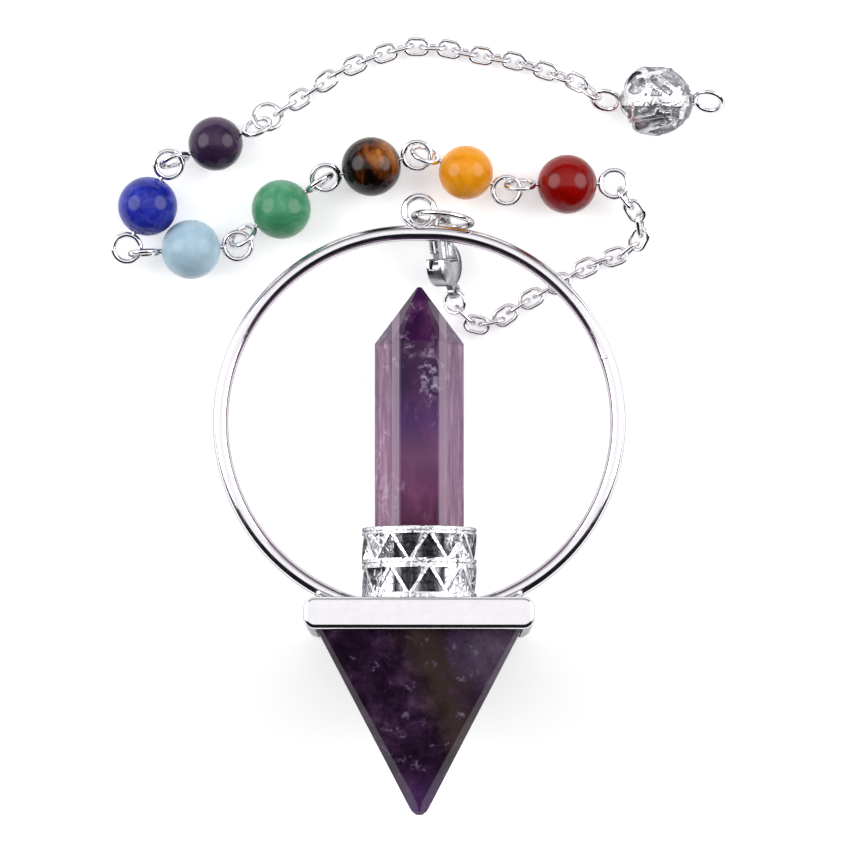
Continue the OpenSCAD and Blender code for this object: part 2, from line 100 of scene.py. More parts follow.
def add_node(tree: bpy.types.NodeTree, kind: str, inputs: dict | None = None, **settings: object) -> bpy.types.Node:
    """Adds a node with its settings, values and links.

    Args:
        tree: the node tree that it goes into
        kind: the node's type
        inputs: a value, or an output to link, by the input's name or number
        settings: the node's own options, and stops [(place, hex)] for a colour ramp

    Returns:
        The new node.
    """
    node = tree.nodes.new(kind)
    stops = settings.pop("stops", [])
    for name, value in settings.items():
        setattr(node, name, value)
    if stops:
        ramp = node.color_ramp.elements
        ramp.remove(ramp[-1])
        ramp[0].position, ramp[0].color = stops[0][0], linear(stops[0][1])
        for place, hex_colour in stops[1:]:
            ramp.new(place).color = linear(hex_colour)
    for key, value in (inputs or {}).items():
        if isinstance(value, bpy.types.NodeSocket):
            tree.links.new(value, node.inputs[key])
        else:
            node.inputs[key].default_value = value
    return node


def stand(name: str, data: bpy.types.ID) -> bpy.types.Object:
    """Makes an object of a mesh, light or camera and links it to the scene.

    Args:
        name: the object's name
        data: the mesh, light or camera

    Returns:
        The object.
    """
    obj = bpy.data.objects.new(name, data)
    bpy.context.scene.collection.objects.link(obj)
    return obj


# Finishes

class Bench:
    """A material in the making, with a pattern space in millimetres on the piece that wears it."""

    def __init__(self, name: str, place: Matrix) -> None:
        """Starts the material.

        Args:
            name: the finish's name
            place: where the piece lies, so that patterns are measured from its own middle
        """
        self.material = bpy.data.materials.new(name)
        self.material.use_nodes = True
        self.tree = self.material.node_tree
        self.tree.nodes.clear()
        spot, turn, _ = place.decompose()
        space = add_node(self.tree, "ShaderNodeTexCoord")
        self.point = add_node(self.tree, "ShaderNodeMapping", {
            "Vector": space.outputs["Object"], "Location": spot, "Rotation": turn.to_euler(), "Scale": (MM, MM, MM),
        }, vector_type="TEXTURE").outputs[0]

    def finish(self, inputs: dict) -> bpy.types.Material:
        """Closes the material with its surface shader.

        Args:
            inputs: the shader's values and links

        Returns:
            The material.
        """
        shader = add_node(self.tree, "ShaderNodeBsdfPrincipled", inputs)
        add_node(self.tree, "ShaderNodeOutputMaterial", {"Surface": shader.outputs[0]})
        return self.material


@dataclass(frozen=True)
class PlatedMetal:
    """Rhodium-plated brass, polished: bright and a little cold, with a faint ripple from the buffing wheel."""

    name: str
    tone: str = "#f8f6f8"
    shade: str = "#e7e5e9"
    edge: str = "#505156"
    roughness: Range = (0.07, 0.17)
    marks_mm: float = 1.1
    ripple_mm: float = 0.9
    ripple_depth_mm: float = 0.004

    def build(self, place: Matrix = FRAME) -> bpy.types.Material:
        """Makes the material.

        Args:
            place: the piece's place, from which the pattern is measured

        Returns:
            The material.
        """
        bench = Bench(self.name, place)
        tree = bench.tree
        # Cleaning marks and thin spots of the plating. The lines left by polishing are far too fine to show, so a
        # ripple about a millimetre wide stands for them
        smooth, worn = self.roughness
        marks = add_node(tree, "ShaderNodeTexNoise", {
            "Vector": bench.point, "Scale": 1 / self.marks_mm, "Detail": 4.0, "Roughness": 0.6})
        tone = add_node(tree, "ShaderNodeMix", {
            0: marks.outputs["Fac"], 6: linear(self.shade), 7: linear(self.tone)}, data_type="RGBA")
        rough = add_node(tree, "ShaderNodeMapRange", {
            "Value": marks.outputs["Fac"], "From Min": 0.35, "From Max": 0.7, "To Min": worn, "To Max": smooth})
        ripple = add_node(tree, "ShaderNodeTexNoise", {
            "Vector": bench.point, "Scale": 1 / self.ripple_mm, "Detail": 2.0, "Roughness": 0.5})
        bump = add_node(tree, "ShaderNodeBump", {
            "Height": ripple.outputs["Fac"], "Strength": 1.0, "Distance": self.ripple_depth_mm * MM})
        return bench.finish({
            "Base Color": tone.outputs[2], "Metallic": 1.0, "Roughness": rough.outputs[0],
            "Specular Tint": linear(self.edge), "Normal": bump.outputs[0]})


class ReliefFrom(Enum):
    """What the height of a relief is measured from, by its share of X, Y and Z."""

    AXIS = (1, 1, 0)
    MIDDLE = (1, 1, 1)


@dataclass(frozen=True)
class CastSilver:
    """Cast and plated relief: crests are buffed bright, and the grounds keep a dark antique wash."""

    name: str
    measured_from: ReliefFrom
    ground: float
    crest: float
    tone: str = "#ecebef"
    wash: str = "#66676c"
    thin_wash: str = "#b9babf"
    edge: str = "#505156"
    grain_mm: float = 0.35
    grain_depth_mm: float = 0.012
    patch_mm: float = 0.8
    tooled_mm: float = 0.75
    tooled_depth_mm: float = 0.03
    roughness: Range = (0.14, 0.36)
    # How far aside of the front the wash starts to give way to painted light, and where most of it is gone
    painted_side_light: Range | None = None

    def build(self, place: Matrix) -> bpy.types.Material:
        """Makes the material.

        Args:
            place: the piece's place, from which the relief's height is measured

        Returns:
            The material.
        """
        bench = Bench(self.name, place)
        tree = bench.tree
        relief = self.crest - self.ground
        smooth, rough = self.roughness
        reach = add_node(tree, "ShaderNodeVectorMath", {
            0: bench.point, 1: self.measured_from.value}, operation="MULTIPLY")
        height = add_node(tree, "ShaderNodeVectorMath", {0: reach.outputs[0]}, operation="LENGTH")
        grain = add_node(tree, "ShaderNodeTexNoise", {
            "Vector": bench.point, "Scale": 1 / self.grain_mm, "Detail": 5.0, "Roughness": 0.65})
        worn = add_node(tree, "ShaderNodeMath", {
            0: grain.outputs["Fac"], 1: 0.24 * relief, 2: height.outputs["Value"]}, operation="MULTIPLY_ADD")
        crest = add_node(tree, "ShaderNodeMapRange", {
            "Value": worn.outputs[0], "From Min": self.ground + 0.15 * relief, "From Max": self.crest,
        }, interpolation_type="SMOOTHSTEP")
        bright = crest.outputs[0]
        if self.painted_side_light:
            # Painted light: the wash is kept in the pockets that face the front and back, and the pockets toward the
            # sides are painted bright, as if lit
            start, end = self.painted_side_light
            part = add_node(tree, "ShaderNodeSeparateXYZ", {0: bench.point})
            aside = add_node(tree, "ShaderNodeMath", {0: part.outputs["X"]}, operation="ABSOLUTE")
            painted_side_light = add_node(tree, "ShaderNodeMapRange", {
                "Value": aside.outputs[0], "From Min": start, "From Max": end, "To Max": 0.9,
            }, interpolation_type="SMOOTHSTEP")
            bright = add_node(tree, "ShaderNodeMath", {
                0: crest.outputs[0], 1: painted_side_light.outputs[0]}, operation="MAXIMUM").outputs[0]
        patches = add_node(tree, "ShaderNodeTexNoise", {
            "Vector": bench.point, "Scale": 1 / self.patch_mm, "Detail": 4.0, "Roughness": 0.7, "Distortion": 0.8})
        thin = add_node(tree, "ShaderNodeMapRange", {
            "Value": patches.outputs["Fac"], "From Min": 0.4, "From Max": 0.6}, interpolation_type="SMOOTHSTEP")
        washed = add_node(tree, "ShaderNodeMix", {
            0: thin.outputs[0], 6: linear(self.wash), 7: linear(self.thin_wash)}, data_type="RGBA")
        tone = add_node(tree, "ShaderNodeMix", {
            0: bright, 6: washed.outputs[2], 7: linear(self.tone)}, data_type="RGBA")
        polish = add_node(tree, "ShaderNodeMapRange", {"Value": bright, "To Min": rough, "To Max": smooth})
        cast = add_node(tree, "ShaderNodeBump", {
            "Height": grain.outputs["Fac"], "Strength": 1.0, "Distance": self.grain_depth_mm * MM})
        # Short chased strokes between the raised bars
        cells = add_node(tree, "ShaderNodeTexVoronoi", {
            "Vector": bench.point, "Scale": 1 / self.tooled_mm, "Randomness": 0.85}, feature="DISTANCE_TO_EDGE")
        stroke = add_node(tree, "ShaderNodeMapRange", {
            "Value": cells.outputs["Distance"], "From Max": 0.16}, interpolation_type="SMOOTHSTEP")
        bump = add_node(tree, "ShaderNodeBump", {
            "Height": stroke.outputs[0], "Strength": 1.0, "Distance": self.tooled_depth_mm * MM,
            "Normal": cast.outputs[0]})
        return bench.finish({
            "Base Color": tone.outputs[2], "Metallic": 1.0, "Roughness": polish.outputs[0],
            "Specular Tint": linear(self.edge), "Normal": bump.outputs[0]})


@dataclass(frozen=True)
class PointAmethyst:
    """Cut and polished amethyst: glassy, wine purple with paler clouds and white veils of tiny cracks."""

    name: str = "amethyst_point"
    foot: float = 1.6
    shoulder: float = 27.0
    # The ground corners beside the front face, where a painted highlight runs: how far aside they lie, and half their
    # width
    corner: float = 2.32
    corner_half: float = 0.36
    zone_mm: float = 3.0
    thread_mm: float = 1.0
    veil_mm: float = 0.7
    patch_mm: float = 2.3
    # The veils gather round this point, measured with the stone squeezed to the shape of their cloud
    veil_middle: Spot = (2.0, 0, 21.9)
    veil_squeeze: Spot = (1.8, 0, 0.9)

    def build(self, place: Matrix) -> bpy.types.Material:
        """Makes the material.

        Args:
            place: the mount's place, from which the stone's growth runs up the point

        Returns:
            The material.
        """
        bench = Bench(self.name, place)
        tree = bench.tree
        # The colour zones are drawn out along the stone
        drawn = add_node(tree, "ShaderNodeVectorMath", {0: bench.point, 1: (1, 1, 0.5)}, operation="MULTIPLY")
        zones = add_node(tree, "ShaderNodeTexNoise", {
            "Vector": drawn.outputs[0], "Scale": 1 / self.zone_mm, "Detail": 4.0, "Roughness": 0.6,
            "Distortion": 0.5})
        body = add_node(tree, "ShaderNodeValToRGB", {"Fac": zones.outputs["Fac"]}, stops=[
            (0.3, "#17071d"), (0.44, "#2b0e2e"), (0.54, "#431b40"), (0.64, "#663a5a"), (0.78, "#8f6a86")])
        part = add_node(tree, "ShaderNodeSeparateXYZ", {0: bench.point})
        low = add_node(tree, "ShaderNodeMapRange", {
            "Value": part.outputs["Z"], "From Min": self.foot, "From Max": self.shoulder})
        run = add_node(tree, "ShaderNodeValToRGB", {"Fac": low.outputs[0]}, stops=[
            (0.0, "#5e1632"), (0.3, "#45112c"), (0.42, "#5e2c50"), (0.55, "#704668"), (0.68, "#4a2a60"),
            (0.82, "#250c3c"), (1.0, "#2c1038")])
        tinted = add_node(tree, "ShaderNodeMix", {
            0: 0.62, 6: body.outputs[0], 7: run.outputs[0]}, data_type="RGBA")
        # Painted reflection: the side faces are painted paler, mostly below the shoulder, and the ground corners
        # palest, as if they caught the white surroundings
        aside = add_node(tree, "ShaderNodeMath", {0: part.outputs["X"]}, operation="ABSOLUTE")
        below = add_node(tree, "ShaderNodeMapRange", {
            "Value": part.outputs["Z"], "From Min": self.shoulder - 0.4, "From Max": self.shoulder + 0.1,
            "To Min": 1.0, "To Max": 0.25})
        side = add_node(tree, "ShaderNodeMapRange", {
            "Value": aside.outputs[0], "From Min": 2.3, "From Max": 2.9, "To Max": 0.62,
        }, interpolation_type="SMOOTHSTEP")
        painted_side_reflection = add_node(tree, "ShaderNodeMath", {
            0: side.outputs[0], 1: below.outputs[0]}, operation="MULTIPLY")
        strung = add_node(tree, "ShaderNodeVectorMath", {0: bench.point, 1: (1.3, 1.3, 0.12)}, operation="MULTIPLY")
        threads = add_node(tree, "ShaderNodeTexNoise", {
            "Vector": strung.outputs[0], "Scale": 1 / self.thread_mm, "Detail": 5.0, "Roughness": 0.65,
            "Distortion": 0.3})
        # The painted reflection's colours, streaked along the stone
        clear = add_node(tree, "ShaderNodeValToRGB", {"Fac": threads.outputs["Fac"]}, stops=[
            (0.34, "#6a4664"), (0.5, "#94708a"), (0.66, "#bd9db3")])
        sided = add_node(tree, "ShaderNodeMix", {
            0: painted_side_reflection.outputs[0], 6: tinted.outputs[2], 7: clear.outputs[0]}, data_type="RGBA")
        # A painted highlight along the ground corners
        off = add_node(tree, "ShaderNodeMath", {
            0: aside.outputs[0], 1: self.corner, 2: self.corner_half}, operation="COMPARE")
        painted_corner_highlight = add_node(tree, "ShaderNodeMath", {0: off.outputs[0], 1: 0.38}, operation="MULTIPLY")
        ground = add_node(tree, "ShaderNodeMix", {
            0: painted_corner_highlight.outputs[0], 6: sided.outputs[2], 7: linear("#b99fb2")}, data_type="RGBA")
        # Veils: clouds of tiny healed cracks, most of them below the shoulder
        veil = add_node(tree, "ShaderNodeTexNoise", {
            "Vector": bench.point, "Scale": 1 / self.veil_mm, "Detail": 6.0, "Roughness": 0.66, "Distortion": 0.5})
        where = add_node(tree, "ShaderNodeTexNoise", {
            "Vector": drawn.outputs[0], "Scale": 1 / self.patch_mm, "Detail": 2.0, "Roughness": 0.5,
            "Distortion": 0.9})
        squeezed = add_node(tree, "ShaderNodeVectorMath", {
            0: bench.point, 1: self.veil_squeeze}, operation="MULTIPLY")
        off_veil = add_node(tree, "ShaderNodeVectorMath", {
            0: squeezed.outputs[0], 1: self.veil_middle}, operation="DISTANCE")
        gathered = add_node(tree, "ShaderNodeMapRange", {
            "Value": off_veil.outputs["Value"], "From Min": 0.4, "From Max": 3.2, "To Min": 0.3, "To Max": 0.0})
        spread = add_node(tree, "ShaderNodeMath", {
            0: where.outputs["Fac"], 1: gathered.outputs[0]}, operation="ADD")
        patch = add_node(tree, "ShaderNodeMapRange", {
            "Value": spread.outputs[0], "From Min": 0.54, "From Max": 0.76}, interpolation_type="SMOOTHSTEP")
        flake = add_node(tree, "ShaderNodeMapRange", {
            "Value": veil.outputs["Fac"], "From Min": 0.46, "From Max": 0.7, "To Max": 0.75})
        veil_cut = add_node(tree, "ShaderNodeMath", {
            0: patch.outputs[0], 1: flake.outputs[0]}, operation="MULTIPLY")
        veiled = add_node(tree, "ShaderNodeMix", {
            0: veil_cut.outputs[0], 6: ground.outputs[2], 7: linear("#cbb9d3")}, data_type="RGBA")
        scuff = add_node(tree, "ShaderNodeMapRange", {
            "Value": veil.outputs["Fac"], "To Min": 0.05, "To Max": 0.13})
        wave = add_node(tree, "ShaderNodeBump", {
            "Height": zones.outputs["Fac"], "Strength": 1.0, "Distance": 0.02 * MM})
        return bench.finish({
            "Base Color": veiled.outputs[2], "Roughness": scuff.outputs[0], "IOR": 1.54,
            "Specular IOR Level": 0.18, "Normal": wave.outputs[0],
            "Subsurface Weight": 0.1, "Subsurface Radius": (1.0, 0.45, 0.9), "Subsurface Scale": 1.2 * MM})


@dataclass(frozen=True)
class PyramidAmethyst:
    """Dark polished amethyst with a smoky olive zone across it and greyer clouds at one corner."""

    name: str = "amethyst_pyramid"
    zone_mm: float = 2.4
    mottle_mm: float = 1.3
    cloud_middle: Spot = (7.2, -7.5, -3.2)
    # Where the clearer tip starts, and where it is clearest
    tip: Range = (-14.5, -19.0)

    def build(self, place: Matrix) -> bpy.types.Material:
        """Makes the material.

        Args:
            place: the mount's place, from which the zones are measured

        Returns:
            The material.
        """
        bench = Bench(self.name, place)
        tree = bench.tree
        zones = add_node(tree, "ShaderNodeTexNoise", {
            "Vector": bench.point, "Scale": 1 / self.zone_mm, "Detail": 7.0, "Roughness": 0.66, "Distortion": 0.3})
        body = add_node(tree, "ShaderNodeValToRGB", {"Fac": zones.outputs["Fac"]}, stops=[
            (0.3, "#130a14"), (0.46, "#221325"), (0.57, "#341f37"), (0.68, "#4d3550"), (0.8, "#6c586f")])
        part = add_node(tree, "ShaderNodeSeparateXYZ", {0: bench.point})
        # The smoky zone runs from the middle of the base toward the lower right
        across = add_node(tree, "ShaderNodeMath", {
            0: part.outputs["Z"], 1: 0.42, 2: part.outputs["X"]}, operation="MULTIPLY_ADD")
        stray = add_node(tree, "ShaderNodeMath", {
            0: zones.outputs["Fac"], 1: 6.0, 2: across.outputs[0]}, operation="MULTIPLY_ADD")
        beside = add_node(tree, "ShaderNodeMath", {0: stray.outputs[0], 1: 2.4}, operation="SUBTRACT")
        away = add_node(tree, "ShaderNodeMath", {0: beside.outputs[0]}, operation="ABSOLUTE")
        smoke = add_node(tree, "ShaderNodeMapRange", {
            "Value": away.outputs[0], "From Min": 0.0, "From Max": 3.8, "To Min": 0.7, "To Max": 0.0,
        }, interpolation_type="SMOOTHSTEP")
        smoked = add_node(tree, "ShaderNodeMix", {
            0: smoke.outputs[0], 6: body.outputs[0], 7: linear("#40352a")}, data_type="RGBA")
        # Paler clouds at the upper right
        corner = add_node(tree, "ShaderNodeVectorMath", {0: bench.point, 1: self.cloud_middle}, operation="DISTANCE")
        near = add_node(tree, "ShaderNodeMapRange", {
            "Value": corner.outputs["Value"], "From Min": 1.0, "From Max": 5.2, "To Min": 0.6, "To Max": 0.0})
        mottle = add_node(tree, "ShaderNodeTexNoise", {
            "Vector": bench.point, "Scale": 1 / self.mottle_mm, "Detail": 6.0, "Roughness": 0.7})
        cloud = add_node(tree, "ShaderNodeMath", {
            0: near.outputs[0], 1: mottle.outputs["Fac"]}, operation="MULTIPLY")
        clouded = add_node(tree, "ShaderNodeMix", {
            0: cloud.outputs[0], 6: smoked.outputs[2], 7: linear("#917f98")}, data_type="RGBA")
        # The tip is clearer and brighter
        tip = add_node(tree, "ShaderNodeMapRange", {
            "Value": part.outputs["Z"], "From Min": self.tip[0], "From Max": self.tip[1], "To Max": 0.4})
        tipped = add_node(tree, "ShaderNodeMix", {
            0: tip.outputs[0], 6: clouded.outputs[2], 7: linear("#653a7e")}, data_type="RGBA")
        speck = add_node(tree, "ShaderNodeMapRange", {
            "Value": mottle.outputs["Fac"], "From Min": 0.6, "From Max": 0.72, "To Max": 0.4})
        specked = add_node(tree, "ShaderNodeMix", {
            0: speck.outputs[0], 6: tipped.outputs[2], 7: linear("#a99abb")}, data_type="RGBA")
        scuff = add_node(tree, "ShaderNodeMapRange", {
            "Value": mottle.outputs["Fac"], "To Min": 0.06, "To Max": 0.15})
        wave = add_node(tree, "ShaderNodeBump", {
            "Height": zones.outputs["Fac"], "Strength": 1.0, "Distance": 0.02 * MM})
        return bench.finish({
            "Base Color": specked.outputs[2], "Roughness": scuff.outputs[0], "IOR": 1.54,
            "Specular IOR Level": 0.2, "Normal": wave.outputs[0]})


@dataclass(frozen=True)
class TumbledStone:
    """A bead stone, ground round and polished: cloudy colour under a glassy, faintly tinted skin."""

    name: str
    deep: str
    main: str
    pale: str
    skin: str
    cloud_mm: float = 2.2
    glow: float = 0.25
    fleck_mm: float = 0.45
    roughness: Range = (0.112, 0.24)

    def build(self, place: Matrix) -> bpy.types.Material:
        """Makes the material.

        Args:
            place: the bead's place, from which the clouds are measured

        Returns:
            The material.
        """
        bench = Bench(self.name, place)
        tree = bench.tree
        clouds = add_node(tree, "ShaderNodeTexNoise", {
            "Vector": bench.point, "Scale": 1 / self.cloud_mm, "Detail": 4.0, "Roughness": 0.6, "Distortion": 0.7})
        body = add_node(tree, "ShaderNodeValToRGB", {"Fac": clouds.outputs["Fac"]}, stops=[
            (0.3, self.deep), (0.5, self.main), (0.74, self.pale)])
        fine = add_node(tree, "ShaderNodeTexNoise", {
            "Vector": bench.point, "Scale": 1 / self.fleck_mm, "Detail": 3.0, "Roughness": 0.6})
        fleck = add_node(tree, "ShaderNodeMapRange", {
            "Value": fine.outputs["Fac"], "From Min": 0.55, "From Max": 0.75, "To Max": 0.35})
        flecked = add_node(tree, "ShaderNodeMix", {
            0: fleck.outputs[0], 6: body.outputs[0], 7: linear(self.pale)}, data_type="RGBA")
        polish = add_node(tree, "ShaderNodeMapRange", {
            "Value": fine.outputs["Fac"], "To Min": self.roughness[0], "To Max": self.roughness[1]})
        wave = add_node(tree, "ShaderNodeBump", {
            "Height": clouds.outputs["Fac"], "Strength": 1.0, "Distance": 0.01 * MM})
        return bench.finish({
            "Base Color": flecked.outputs[2], "Roughness": 0.5, "Specular IOR Level": 0.0,
            "Coat Weight": 1.0, "Coat Roughness": polish.outputs[0], "Coat IOR": 1.36, "Coat Tint": linear(self.skin),
            "Subsurface Weight": self.glow, "Subsurface Radius": linear(self.main)[:3],
            "Subsurface Scale": 2.0 * MM, "Normal": wave.outputs[0]})


@dataclass(frozen=True)
class TigersEye:
    """Tiger's eye, polished: silky golden brown streaks in near-black brown, along the fibres."""

    name: str = "tigers_eye"
    fibre_turn: float = -24.0
    streak_mm: float = 1.5
    # The middle of the painted sheen in the fibres
    sheen_middle: Spot = (1.0, 1.0, 2.4)
    skin: str = "#e2d6c8"

    def build(self, place: Matrix) -> bpy.types.Material:
        """Makes the material.

        Args:
            place: the bead's place, from which the streaks are measured

        Returns:
            The material.
        """
        bench = Bench(self.name, place)
        tree = bench.tree
        leaned = add_node(tree, "ShaderNodeMapping", {
            "Vector": bench.point, "Rotation": (0.1, 0.2, math.radians(self.fibre_turn)), "Scale": (1.0, 0.3, 0.7),
        }, vector_type="POINT")
        streaks = add_node(tree, "ShaderNodeTexNoise", {
            "Vector": leaned.outputs[0], "Scale": 1 / self.streak_mm, "Detail": 5.0, "Roughness": 0.62,
            "Distortion": 0.4})
        # Painted sheen: the fibres are painted brighter round one point near the top of the bead
        spot = add_node(tree, "ShaderNodeVectorMath", {0: bench.point, 1: self.sheen_middle}, operation="DISTANCE")
        painted_sheen = add_node(tree, "ShaderNodeMapRange", {
            "Value": spot.outputs["Value"], "From Min": 0.6, "From Max": 3.6, "To Min": 0.19, "To Max": -0.12})
        sheened = add_node(tree, "ShaderNodeMath", {0: streaks.outputs["Fac"], 1: painted_sheen.outputs[0]}, operation="ADD")
        body = add_node(tree, "ShaderNodeValToRGB", {"Fac": sheened.outputs[0]}, stops=[
            (0.4, "#0c0704"), (0.5, "#271307"), (0.6, "#5e300f"), (0.7, "#93571d"), (0.82, "#bd8440")])
        stretched = add_node(tree, "ShaderNodeVectorMath", {
            0: leaned.outputs[0], 1: (6.0, 1.5, 3.0)}, operation="MULTIPLY")
        silk = add_node(tree, "ShaderNodeTexNoise", {
            "Vector": stretched.outputs[0], "Scale": 0.7, "Detail": 4.0, "Roughness": 0.7})
        silked = add_node(tree, "ShaderNodeMix", {
            0: 0.3, 6: body.outputs[0], 7: silk.outputs["Color"]}, data_type="RGBA", blend_type="SOFT_LIGHT")
        polish = add_node(tree, "ShaderNodeMapRange", {
            "Value": silk.outputs["Fac"], "To Min": 0.12, "To Max": 0.22})
        return bench.finish({
            "Base Color": silked.outputs[2], "Roughness": 0.45, "Specular IOR Level": 0.0,
            "Coat Weight": 1.0, "Coat Roughness": polish.outputs[0], "Coat IOR": 1.36,
            "Coat Tint": linear(self.skin)})


@dataclass(frozen=True)
class PaleFloor:
    """Matt white card, as under a product picture, with a barely seen tooth, drawn coarser than it is."""

    name: str = "white_card"
    tooth_mm: float = 0.6

    def build(self) -> bpy.types.Material:
        """Makes the material.

        Returns:
            The material.
        """
        bench = Bench(self.name, FRAME)
        tooth = add_node(bench.tree, "ShaderNodeTexNoise", {
            "Vector": bench.point, "Scale": 1 / self.tooth_mm, "Detail": 2.0})
        tone = add_node(bench.tree, "ShaderNodeMix", {
            0: tooth.outputs["Fac"], 6: linear("#f6f6f6"), 7: linear("#fafafa")}, data_type="RGBA")
        return bench.finish({
            "Base Color": tone.outputs[2], "Roughness": 0.9, "Specular IOR Level": 0.1,
            "Emission Color": linear("#ffffff"), "Emission Strength": 0.34})


# Making meshes

class WireTree:
    """Sweeps a round wire along every path of a mesh of points and edges."""

    def __init__(self) -> None:
        """Builds the node tree, with its inputs."""
        self.tree = bpy.data.node_groups.new("bent_wire", "GeometryNodeTree")
        face = self.tree.interface
        face.new_socket("Path", in_out="INPUT", socket_type="NodeSocketGeometry")
        self.diameter = face.new_socket("Wire Diameter", in_out="INPUT", socket_type="NodeSocketFloat").identifier
        self.sides = face.new_socket("Wire Sides", in_out="INPUT", socket_type="NodeSocketInt").identifier
        self.finish = face.new_socket("Finish", in_out="INPUT", socket_type="NodeSocketMaterial").identifier
        face.new_socket("Wire", in_out="OUTPUT", socket_type="NodeSocketGeometry")
        given = add_node(self.tree, "NodeGroupInput")
        half = add_node(self.tree, "ShaderNodeMath", {
            0: given.outputs["Wire Diameter"], 1: 0.5}, operation="MULTIPLY")
        path = add_node(self.tree, "GeometryNodeMeshToCurve", {"Mesh": given.outputs["Path"]})
        section = add_node(self.tree, "GeometryNodeCurvePrimitiveCircle", {
            "Resolution": given.outputs["Wire Sides"], "Radius": half.outputs[0]}, mode="RADIUS")
        wire = add_node(self.tree, "GeometryNodeCurveToMesh", {
            "Curve": path.outputs["Curve"], "Profile Curve": section.outputs["Curve"], "Fill Caps": True})
        smooth = add_node(self.tree, "GeometryNodeSetShadeSmooth", {"Geometry": wire.outputs["Mesh"]})
        real = add_node(self.tree, "GeometryNodeRealizeInstances", {"Geometry": smooth.outputs[0]})
        dressed = add_node(self.tree, "GeometryNodeSetMaterial", {
            "Geometry": real.outputs[0], "Material": given.outputs["Finish"]})
        add_node(self.tree, "NodeGroupOutput", {0: dressed.outputs[0]})

    def sweep(self, paths: list[tuple[list[Vector], bool]], wire_d: float, sides: int,
              material: bpy.types.Material) -> bpy.types.Mesh:
        """Sweeps the wire.

        Args:
            paths: each path's points in millimetres, and whether it is closed
            wire_d: the wire's diameter
            sides: points round the wire
            material: its finish

        Returns:
            The wire's mesh, in the same millimetres.
        """
        points, edges = [], []
        for path, closed in paths:
            first = len(points)
            points += path
            edges += [(first + i, first + i + 1) for i in range(len(path) - 1)]
            if closed:
                edges.append((first + len(path) - 1, first))
        mesh = bpy.data.meshes.new("wire_path")
        mesh.from_pydata(points, edges, [])
        return run_tree(mesh, self.tree, {self.diameter: wire_d, self.sides: sides, self.finish: material})


class SeatTree:
    """Sets a copy of one small piece on each point, turned as the point says."""

    def __init__(self) -> None:
        """Builds the node tree, with its inputs."""
        self.tree = bpy.data.node_groups.new("seated_pieces", "GeometryNodeTree")
        face = self.tree.interface
        face.new_socket("Seats", in_out="INPUT", socket_type="NodeSocketGeometry")
        self.piece = face.new_socket("Piece", in_out="INPUT", socket_type="NodeSocketObject").identifier
        self.finish = face.new_socket("Finish", in_out="INPUT", socket_type="NodeSocketMaterial").identifier
        face.new_socket("Pieces", in_out="OUTPUT", socket_type="NodeSocketGeometry")
        given = add_node(self.tree, "NodeGroupInput")
        piece = add_node(self.tree, "GeometryNodeObjectInfo", {"Object": given.outputs["Piece"]},
                         transform_space="ORIGINAL")
        turn = add_node(self.tree, "GeometryNodeInputNamedAttribute", {"Name": "turn"}, data_type="FLOAT_VECTOR")
        as_turn = add_node(self.tree, "FunctionNodeEulerToRotation", {0: turn.outputs[0]})
        seated = add_node(self.tree, "GeometryNodeInstanceOnPoints", {
            "Points": given.outputs["Seats"], "Instance": piece.outputs["Geometry"],
            "Rotation": as_turn.outputs[0]})
        real = add_node(self.tree, "GeometryNodeRealizeInstances", {"Geometry": seated.outputs[0]})
        dressed = add_node(self.tree, "GeometryNodeSetMaterial", {
            "Geometry": real.outputs[0], "Material": given.outputs["Finish"]})
        add_node(self.tree, "NodeGroupOutput", {0: dressed.outputs[0]})

    def seat(self, seats: list[tuple[Vector, Euler]], piece: bpy.types.Mesh,
             material: bpy.types.Material | None = None) -> bpy.types.Mesh:
        """Sets the piece on each seat.

        Args:
            seats: each copy's place in millimetres, and its turn
            piece: the mesh to copy
            material: the finish of them all, or none for copies that only cut

        Returns:
            One mesh of all the copies.
        """
        mesh = bpy.data.meshes.new("seats")
        mesh.from_pydata([spot for spot, _ in seats], [], [])
        turns = mesh.attributes.new("turn", "FLOAT_VECTOR", "POINT")
        for item, (_, turn) in zip(turns.data, seats):
            item.vector = turn[:]
        holder = bpy.data.objects.new("seated_piece", piece)
        result = run_tree(mesh, self.tree, {self.piece: holder, self.finish: material})
        bpy.data.objects.remove(holder)
        return result


def baked(obj: bpy.types.Object) -> bpy.types.Mesh:
    """Turns an object and its modifiers to a plain mesh, and removes the object.

    Args:
        obj: the object

    Returns:
        The mesh.
    """
    bpy.context.view_layer.update()
    result = bpy.data.meshes.new_from_object(obj.evaluated_get(bpy.context.evaluated_depsgraph_get()))
    bpy.data.objects.remove(obj)
    return result


def run_tree(mesh: bpy.types.Mesh, tree: bpy.types.NodeTree, inputs: dict) -> bpy.types.Mesh:
    """Runs a geometry tree on a mesh.

    Args:
        mesh: what goes in
        tree: the node tree
        inputs: the value of each input, by its identifier

    Returns:
        The result as a plain mesh.
    """
    obj = stand(tree.name, mesh)
    modifier = obj.modifiers.new("tree", "NODES")
    modifier.node_group = tree
    for identifier, value in inputs.items():
        if value is not None:
            modifier[identifier] = value
    return baked(obj)


def lathe(profile: Outline, segments: int, along: Matrix | None = None) -> bpy.types.Mesh:
    """Turns a closed outline about Z.

    Args:
        profile: the outline's (radius, height) points, counterclockwise
        segments: faces round the piece
        along: a turn for the finished piece

    Returns:
        The closed mesh, with its faces outwards.
    """
    count = len(profile)
    points = [
        (r * math.cos(2 * math.pi * k / segments), r * math.sin(2 * math.pi * k / segments), z)
        for k in range(segments) for r, z in profile
    ]
    faces = []
    for k in range(segments):
        here, there = k * count, (k + 1) % segments * count
        for i in range(count):
            j = (i + 1) % count
            faces.append((here + i, there + i, there + j, here + j))
    return tidy_mesh("turned", points, faces, along)


